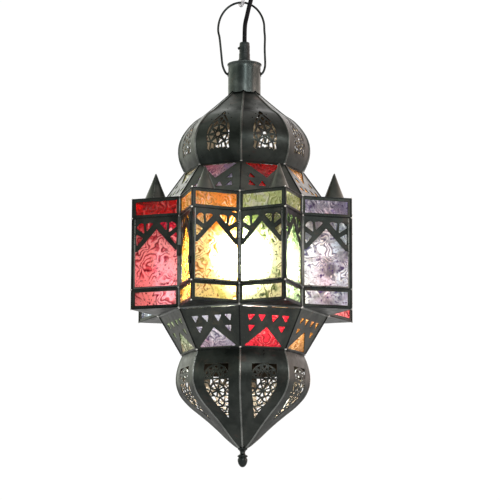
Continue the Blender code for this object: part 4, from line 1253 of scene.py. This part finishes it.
def frieze(name, ring, narrow_end, deep):
    narrow, wide = (ring if narrow_end == "top" else ring[::-1])
    length = frieze_matrix(ring, 0, narrow_end)[1]
    n2, w2 = narrow[0] * S8, wide[0] * S8
    holes = [soft_corners(h, 0.9) for h in frieze_holes(length, n2)]
    rim = [(-n2, 0.0), (n2, 0.0), (w2, length), (-w2, length)]
    flat = flat_fill([rim] + holes)
    plate = thick(flat, SHEET, inner=1, rim=2, width=0.16)
    leaky = plate
    if not deep:
        leak = [box_outline(-38.0, -4.0, length - 1.75, length - 0.75),
                box_outline(2.0, 36.0, length - 1.6, length - 0.75)]
        leaky = thick(flat_fill([rim] + holes + leak), SHEET, inner=1, rim=2)
    bm = bmesh.new()
    for b in BAYS:
        m = frieze_matrix(ring, b, narrow_end)[0]
        add_mesh(bm, leaky if abs(b) == 22.5 else plate, m)
    for k in range(SIDES):
        a, b = plan(ring[0][0], k * STEP, ring[0][1]) / MM, plan(ring[1][0], k * STEP, ring[1][1]) / MM
        pts = [a.lerp(b, j / 6) for j in range(7)]
        add_mesh(bm, tube_mesh(pts, 1.0, 8), index=2)
    for r, z in ring:
        inner = r == narrow[0]
        pts = []
        for k in range(SIDES):
            a, b = plan(r, k * STEP, z) / MM, plan(r, (k + 1) * STEP, z) / MM
            pts += [a.lerp(b, j / 4) for j in range(4)]
        add_mesh(bm, tube_mesh(pts, 0.85, 8, closed=True), index=2 if inner else 3)
    for k in range(SIDES):
        for r, z in ring:
            p = plan(r + 0.3, k * STEP, z) / MM
            add_mesh(bm, blob(p, 1.5 if r == narrow[0] else 1.2, 0.8, k * 1.3 + r), index=4)
    piece(name, to_mesh(bm, name), [IRON_FRIEZE, DULL, IRON_DARK, IRON_WORN_EDGE_SHEEN, SOLDER],
          "lantern", "aged_iron", name + "_frame")
    slope = (w2 - n2) / length
    for i, b in enumerate(BAYS):
        c = FRIEZE_COLOURS[i]
        panes = Panes()
        panes.add(lambda q: (-(n2 + slope * q - 2.4), n2 + slope * q - 2.4),
                  1.9, length - 1.9, 3.0 + i * 1.37 + (7 if deep else 0),
                  frieze_matrix(ring, b, narrow_end)[0])
        piece("%s_pane_%d" % (name, i + 1), panes.mesh("pane"),
              [GLASS[c + ("_deep" if deep else "_frieze")], BACKS[c]], "lantern", "glass_" + c,
              "%s_glass_%d" % (name, i + 1))


frieze("upper_frieze", UP_FRIEZE, "top", True)
frieze("lower_frieze", LOW_FRIEZE, "bottom", False)

# ----------------------------------------------------------------------
# Star body
# ----------------------------------------------------------------------
STRIP_UP = (Z_UP + 4.2, Z_TOP - 4.9)
STRIP_LOW = (Z_BOTTOM + 4.7, Z_LOW - 4.0)
MID = 33.3


def arch_opening(centre, half, seam, bottom):
    return [(centre - half, bottom), (centre + half, bottom),
            (centre + half, seam - 45.5), (centre + half - 3.0, seam - 45.5),
            (centre, seam - 16.3),
            (centre - half + 3.0, seam - 45.5), (centre - half, seam - 45.5)]


def petals(centre, seam, spread=1.0):
    """Three petals in each corner above the pointed head, round at their far
    ends and sharp at the near ones."""
    shapes = [
        [(4.1, 8.2), (9.6, 7.0), (15.4, 8.2), (14.2, 19.2)],
        [(18.4, 8.4), (21.4, 6.9), (25.0, 8.2), (28.0, 11.4), (28.6, 14.0), (17.4, 21.8)],
        [(28.7, 21.6), (29.0, 29.4), (28.2, 38.0), (19.2, 27.4)],
    ]
    out = []
    for pts in shapes:
        out.append(soft_corners([(centre + x * spread, seam - y) for x, y in reversed(pts)], 1.0))
        out.append(soft_corners([(centre - x * spread, seam - y) for x, y in pts], 1.0))
    return out


def mirrored(outlines):
    return [[(FACE_W - x, y) for x, y in reversed(pts)] for pts in outlines]


full_rim = box_outline(0.25, FACE_W - 0.15, Z_BOTTOM, Z_TOP)
strips = [soft_corners(box_outline(4.4, FACE_W - 5.2, *STRIP_UP), 0.5),
          soft_corners(box_outline(4.4, FACE_W - 5.2, *STRIP_LOW), 0.5)]
wall = [full_rim] + strips + [arch_opening(MID, 30.1, Z_UP, Z_LOW + 3.2)] + petals(MID, Z_UP)
door_wall = [full_rim] + strips + [
    box_outline(DOOR_LEFT - 0.7, DOOR_RIGHT + 0.7, Z_LOW + 0.6, Z_UP - 0.6)]


def star_faces():
    for b in BAYS:
        left, point, right = (plan(R_RECESS, b - STEP / 2), plan(R_POINT, b),
                              plan(R_RECESS, b + STEP / 2))
        yield b, "a", panel_frame(left, point), False
        yield b, "b", panel_frame(point, right), True


slits = [box_outline(2.7, 3.3, Z_LOW + 6, Z_UP - 7), box_outline(57.5, 63.5, Z_UP - 2.3, Z_UP - 1.5)]
plates = {
    "slit": thick(flat_fill(mirrored(wall) + slits), SHEET, inner=1, rim=2, width=0.16),
    "a": thick(flat_fill(wall), SHEET, inner=1, rim=2, width=0.16),
    "b": thick(flat_fill(mirrored(wall)), SHEET, inner=1, rim=2, width=0.16),
    "door": thick(flat_fill(door_wall), SHEET, inner=1, rim=2, width=0.16),
}
bm = bmesh.new()
for b, side, m, mirror in star_faces():
    is_door = b == -22.5 and side == "a"
    is_slit = b == -22.5 and side == "b"
    add_mesh(bm, plates["door" if is_door else "slit" if is_slit else side], m)

    def x(v0, v1):
        return (FACE_W - v1, FACE_W - v0) if mirror else (v0, v1)
    # folded edges: hems at top and bottom, lips along both seams
    for v0, v1, n1, index in ((Z_TOP - 1.6, Z_TOP, 0.7, 2), (Z_BOTTOM, Z_BOTTOM + 1.7, 0.7, 2)):
        add_mesh(bm, bar(m, *x(1.0, FACE_W - 1.2), v0, v1, -0.2, n1, 0.3), index=index)
    for z, lip in ((Z_UP, 1.5), (Z_LOW, 1.4)):
        add_mesh(bm, bar(m, *x(1.2, FACE_W - 1.4), z - 0.35, z + 0.85, -0.2, lip, 0.35), index=2)
    if not is_door:
        # the pierced plate's turned-up sides
        for x0, x1 in ((1.5, 2.3), (FACE_W - 4.8, FACE_W - 3.7)):
            add_mesh(bm, bar(m, *x(x0, x1), Z_LOW + 1.2, Z_UP - 1.4, -0.2, 1.15, 0.3), index=3)
        add_mesh(bm, bar(m, *x(2.4, FACE_W - 4.6), Z_LOW + 1.3, Z_LOW + 2.2, -0.2, 0.9, 0.25),
                 index=3)
for k in range(2 * SIDES):
    point = k % 2 == 1
    r = R_POINT if point else R_RECESS
    a = k * STEP / 2
    for z0, z1 in ((Z_BOTTOM, Z_LOW - 0.4), (Z_LOW + 0.9, Z_UP - 0.5), (Z_UP + 0.9, Z_TOP)):
        rr = r - 0.4 if point else r + 0.5
        pts = [plan(rr, a, z0 + (z1 - z0) * j / 6) / MM for j in range(7)]
        add_mesh(bm, tube_mesh(pts, 1.25 if point else 0.9, 8), index=2 if point else 3)
    for z in (Z_TOP, Z_UP, Z_LOW, Z_BOTTOM):
        rr = r + (0.5 if point else 1.0)
        add_mesh(bm, blob(plan(rr, a, z) / MM, 1.45 if z in (Z_UP, Z_LOW) else 1.25, 0.85,
                          k * 0.77 + z), index=4)
# roof and floor plates
for b in BAYS:
    for z, up in ((Z_TOP, 1), (Z_BOTTOM, -1)):
        a0, a1 = plan(R_RECESS, b - STEP / 2, z), plan(R_RECESS, b + STEP / 2, z)
        tip = plan(R_POINT, b, z)
        origin = (a0 + a1) / 2
        u = (a1 - a0).normalized()
        v = Vector((0, 0, 1)).cross(u)
        if v.dot(tip - origin) < 0:
            v = -v
        nrm = u.cross(v)
        m = Matrix((u, v, nrm)).transposed().to_4x4()
        m.translation = origin
        w = (a1 - a0).length / 2 / MM
        h = (tip - origin).length / MM
        flat = flat_fill([[(-w, 0.0), (w, 0.0), (0.0, h)]])
        if nrm.z * up < 0:
            flat.flip_normals()
        plate = thick(flat, SHEET, inner=1, rim=2, width=0.16)
        add_mesh(bm, plate, m)
        # crease line and a hem on the inner edge
        pts = [(a0.lerp(a1, j / 6)) / MM for j in range(7)]
        add_mesh(bm, tube_mesh([p + Vector((0, 0, up * 0.1)) for p in pts], 0.8, 8), index=3)
star = piece("star_walls", to_mesh(bm, "star_walls"),
             [IRON, DULL, IRON_DARK, IRON_WORN_EDGE_SHEEN, SOLDER], "lantern", "aged_iron", "star_frame")

# panes: three behind each wall panel
X0, X1 = 1.6, FACE_W - 3.9


def star_panes(matrix, mirror, seed, parts):
    panes = Panes()
    for tag in parts:
        q0, q1, k = {"up": (Z_UP + 1.0, Z_TOP - 1.5, 1), "mid": (Z_LOW + 1.0, Z_UP - 1.0, 2),
                     "low": (Z_BOTTOM + 1.5, Z_LOW - 1.0, 3)}[tag]
        x0, x1 = (FACE_W - X1, FACE_W - X0) if mirror else (X0, X1)
        panes.add(lambda q: (x0, x1), q0, q1, seed + k, matrix, index=2 if tag == "up" else 0)
    return panes.mesh("panes")


for i, (b, side, m, mirror) in enumerate(star_faces()):
    bay = BAYS.index(b)
    c = COLOURS[bay]
    # painted light: the walls either side of the front and back centre lines, through which the camera
    # looks at the bulb, take the paler '_lit' copies of the orange and green glass (painted glow); the
    # other walls of those bays take the darker '_side' copies (painted shade)
    kind = {(1, "b"): "_lit", (2, "a"): "_lit", (5, "b"): "_lit", (6, "a"): "_lit",
            (1, "a"): "_side", (2, "b"): "_side", (5, "a"): "_side",
            (6, "b"): "_side"}.get((bay, side), "")
    kind = kind if c + kind in GLASS else ""
    mats = [GLASS[c + kind], BACKS[c], GLASS[c + "_deep"]]
    if b == -22.5 and side == "a":
        for tag, part in (("upper", "up"), ("lower", "low")):
            piece("star_pane_%d%s_%s" % (bay + 1, side, tag),
                  star_panes(m, mirror, i * 2.31, [part]), mats, "lantern",
                  "glass_" + c, "star_glass_%d%s_%s" % (bay + 1, side, tag))
    else:
        piece("star_pane_%d%s" % (bay + 1, side),
              star_panes(m, mirror, i * 2.31, ["up", "mid", "low"]), mats, "lantern",
              "glass_" + c, "star_glass_%d%s" % (bay + 1, side))

# spires: rolled cones with a lapped joint
for i, (b, (radius, wide, tall)) in enumerate(zip(BAYS, SPIRES)):
    at = plan(radius, b) / MM
    base = Z_TOP + GAP
    bm = bmesh.new()
    line = [(0.0, 1.0), (0.05, 0.988), (0.09, 0.95), (0.31, 0.705), (0.65, 0.35),
            (0.95, 0.045), (1.0, 0.012), (0.993, 0.0), (0.93, 0.0), (0.58, 0.35),
            (0.04, 0.92)]
    add_mesh(bm, turned_mesh([(r * wide, base + z * tall) for r, z in line], 40,
                             at=(at.x, at.y), smooth=50), index=0)
    lap = math.radians(b * 2.0 + 40)
    pts = [(at.x + (wide + 0.05) * (1 - 0.92 * t) * math.cos(lap),
            at.y + (wide + 0.05) * (1 - 0.92 * t) * math.sin(lap),
            base + 0.4 + 0.94 * tall * t) for t in (j / 8 for j in range(9))]
    add_mesh(bm, tube_mesh(pts, 0.45, 6), index=1)
    piece("spire_cone_%d" % (i + 1), to_mesh(bm, "spire"), [IRON_SPIRE, IRON_WORN_EDGE_SHEEN], "lantern",
          "aged_iron", "spire_%d" % (i + 1))

# ----------------------------------------------------------------------
# Door
# ----------------------------------------------------------------------
DOOR_MID = (DOOR_LEFT + DOOR_RIGHT) / 2
D_TOP, D_BOTTOM = Z_UP - 1.2, Z_LOW + 1.2
door_plate = thick(flat_fill([box_outline(DOOR_LEFT, DOOR_RIGHT, D_BOTTOM, D_TOP),
                              arch_opening(DOOR_MID, 26.8, Z_UP, Z_LOW + 4.4)]
                             + petals(DOOR_MID, Z_UP, 0.9)),
                   SHEET, inner=1, rim=2, width=0.16)
bm = bmesh.new()
add_mesh(bm, door_plate, DOOR_FRAME)
for x0, x1, v0, v1 in ((DOOR_LEFT, DOOR_LEFT + 1.1, D_BOTTOM, D_TOP),
                       (DOOR_RIGHT - 3.2, DOOR_RIGHT - 2.2, D_BOTTOM, D_TOP),
                       (DOOR_LEFT + 0.9, DOOR_RIGHT - 2.4, D_TOP - 1.0, D_TOP),
                       (DOOR_LEFT + 0.9, DOOR_RIGHT - 2.4, D_BOTTOM, D_BOTTOM + 1.0)):
    add_mesh(bm, bar(DOOR_FRAME, x0, x1, v0, v1, -0.2, 0.9, 0.25), index=3)


def rod_mesh(radius, hole, v0, v1):
    c = DOOR_FRAME @ Vector((HINGE_U * MM, 0, HINGE_N * MM)) / MM
    return turned_mesh([(hole, v1), (radius - 0.3, v1), (radius, v1 - 0.3), (radius, v0 + 0.3),
                        (radius - 0.3, v0), (hole, v0)], 28, closed=True, at=(c.x, c.y))


for z in (-380.7, -424.3):
    add_mesh(bm, rod_mesh(1.9, 1.15, z - 5, z + 5), index=2)
    add_mesh(bm, bar(DOOR_FRAME, 60.9, 64.4, z - 4.9, z + 4.9, 0.0, 1.1, 0.2), index=3)
    for dz in (-2.6, 2.6):
        p = DOOR_FRAME @ (Vector((61.9, z + dz, 1.1)) * MM) / MM
        add_mesh(bm, blob(p, 0.8, 0.8, z + dz), index=4)
add_mesh(bm, bar(DOOR_FRAME, 4.9, 6.2, -409.4, -394.4, -0.4, 5.2, 0.5), index=2)
door = piece("door_panel", to_mesh(bm, "door_panel"),
             [IRON, DULL, IRON_DARK, IRON_WORN_EDGE_SHEEN, SOLDER], "door", "aged_iron", "door_frame")
panes = Panes()
panes.add(lambda q: (6.6, 61.0), Z_LOW + 3.0, Z_UP - 3.4, 41.3, DOOR_FRAME)
# the door's pane takes the darker copy of the orange glass: painted shade
piece("door_pane", panes.mesh("door_pane"), [GLASS["orange_side"], BACKS["orange"]], "door", "glass_orange",
      "door_glass")

staple = [(HINGE_U, -361.0, 0.3), (HINGE_U, -361.0, 1.3), (HINGE_U, -361.7, HINGE_N)]
staple += [(HINGE_U, -364.0 - 4.0 * k, HINGE_N) for k in range(0, 20)]
staple += [(HINGE_U, -443.3, HINGE_N), (HINGE_U, -444.0, 1.3), (HINGE_U, -444.0, 0.3)]
pin = piece("hinge_wire", tube_mesh([(DOOR_FRAME @ (Vector(p) * MM)) / MM for p in staple],
                                    0.9, 12), [WIRE], "lantern", "black_wire",
            "door_hinge_wire")

# ----------------------------------------------------------------------
# Floor, light and air
# ----------------------------------------------------------------------
bm = bmesh.new()
bmesh.ops.create_grid(bm, x_segments=8, y_segments=8, size=60.0)
floor = bpy.data.objects.new("floor", to_mesh(bm, "floor"))
LINK(floor)
floor.location = (0, 0, -1.75)
n = Nodes("floor_paint")
paint = n.mix(n.remap(n.noise(0.8, 3.0), 0.3, 0.7), col(0.60, 0.62, 0.65), col(0.65, 0.67, 0.70))
floor.data.materials.append(n.surface(n.add("ShaderNodeBsdfPrincipled", {
    "Base Color": paint, "Roughness": 0.8})))


def softbox(name, place, target, size, power, colour=(1, 1, 1)):
    data = bpy.data.lights.new(name, "AREA")
    data.shape = "RECTANGLE"
    data.size, data.size_y = size
    data.energy = power
    data.color = colour
    ob = bpy.data.objects.new(name, data)
    LINK(ob)
    ob.location = place
    ob.rotation_euler = (Vector(target) - Vector(place)).to_track_quat("-Z", "Y").to_euler()
    return ob


softbox("key", (0.48, -2.7, 0.10), (0, 0, -0.38), (0.30, 0.8), 30.0)
softbox("right", (2.1, -2.3, 0.75), (0, 0, -0.38), (0.5, 0.7), 17.0)
softbox("left", (-2.4, -1.5, 0.0), (0, 0, -0.38), (0.7, 1.4), 8.0, (1.0, 0.99, 0.90))
softbox("rim", (2.5, -0.5, -0.2), (0, 0, -0.38), (0.7, 1.4), 26.0, (1.0, 0.72, 0.66))

world = bpy.data.worlds.new("white_room")
bpy.context.scene.world = world
world.use_nodes = True
wt = world.node_tree
wt.nodes.clear()
w_out = wt.nodes.new("ShaderNodeOutputWorld")
seen = wt.nodes.new("ShaderNodeBackground")
seen.inputs["Color"].default_value = (1, 1, 1, 1)
seen.inputs["Strength"].default_value = 1.03
room = wt.nodes.new("ShaderNodeBackground")
coord = wt.nodes.new("ShaderNodeTexCoord")
sep = wt.nodes.new("ShaderNodeSeparateXYZ")
mapr = wt.nodes.new("ShaderNodeMapRange")
mapr.interpolation_type = "SMOOTHSTEP"
mapr.inputs["From Min"].default_value = -0.70
mapr.inputs["From Max"].default_value = 0.60
mapr.inputs["To Min"].default_value = 0.26
mapr.inputs["To Max"].default_value = 1.7
wt.links.new(coord.outputs["Generated"], sep.inputs[0])
wt.links.new(sep.outputs["Y"], mapr.inputs["Value"])
wt.links.new(mapr.outputs[0], room.inputs["Strength"])
side = wt.nodes.new("ShaderNodeMapRange")
side.inputs["From Min"].default_value = -1.0
side.inputs["From Max"].default_value = 1.0
wt.links.new(sep.outputs["X"], side.inputs["Value"])
walls = wt.nodes.new("ShaderNodeValToRGB")
walls.color_ramp.elements[0].position = 0.12
walls.color_ramp.elements[0].color = (0.92, 0.95, 0.80, 1.0)
walls.color_ramp.elements[1].position = 0.88
walls.color_ramp.elements[1].color = (1.0, 0.80, 0.72, 1.0)
middle = walls.color_ramp.elements.new(0.5)
middle.color = (1.0, 1.0, 1.0, 1.0)
wt.links.new(side.outputs[0], walls.inputs["Fac"])
wt.links.new(walls.outputs["Color"], room.inputs["Color"])
path = wt.nodes.new("ShaderNodeLightPath")
mixw = wt.nodes.new("ShaderNodeMixShader")
wt.links.new(path.outputs["Is Camera Ray"], mixw.inputs["Fac"])
wt.links.new(room.outputs[0], mixw.inputs[1])
wt.links.new(seen.outputs[0], mixw.inputs[2])
wt.links.new(mixw.outputs[0], w_out.inputs["Surface"])

scene = bpy.context.scene
scene.view_settings.view_transform = "Standard"
scene.view_settings.look = "None"
scene.cycles.use_denoising = True
scene.cycles.max_bounces = 10
scene.cycles.transmission_bounces = 8
scene.cycles.transparent_max_bounces = 24
scene.cycles.caustics_reflective = False
scene.cycles.caustics_refractive = False
scene.cycles.sample_clamp_indirect = 12.0
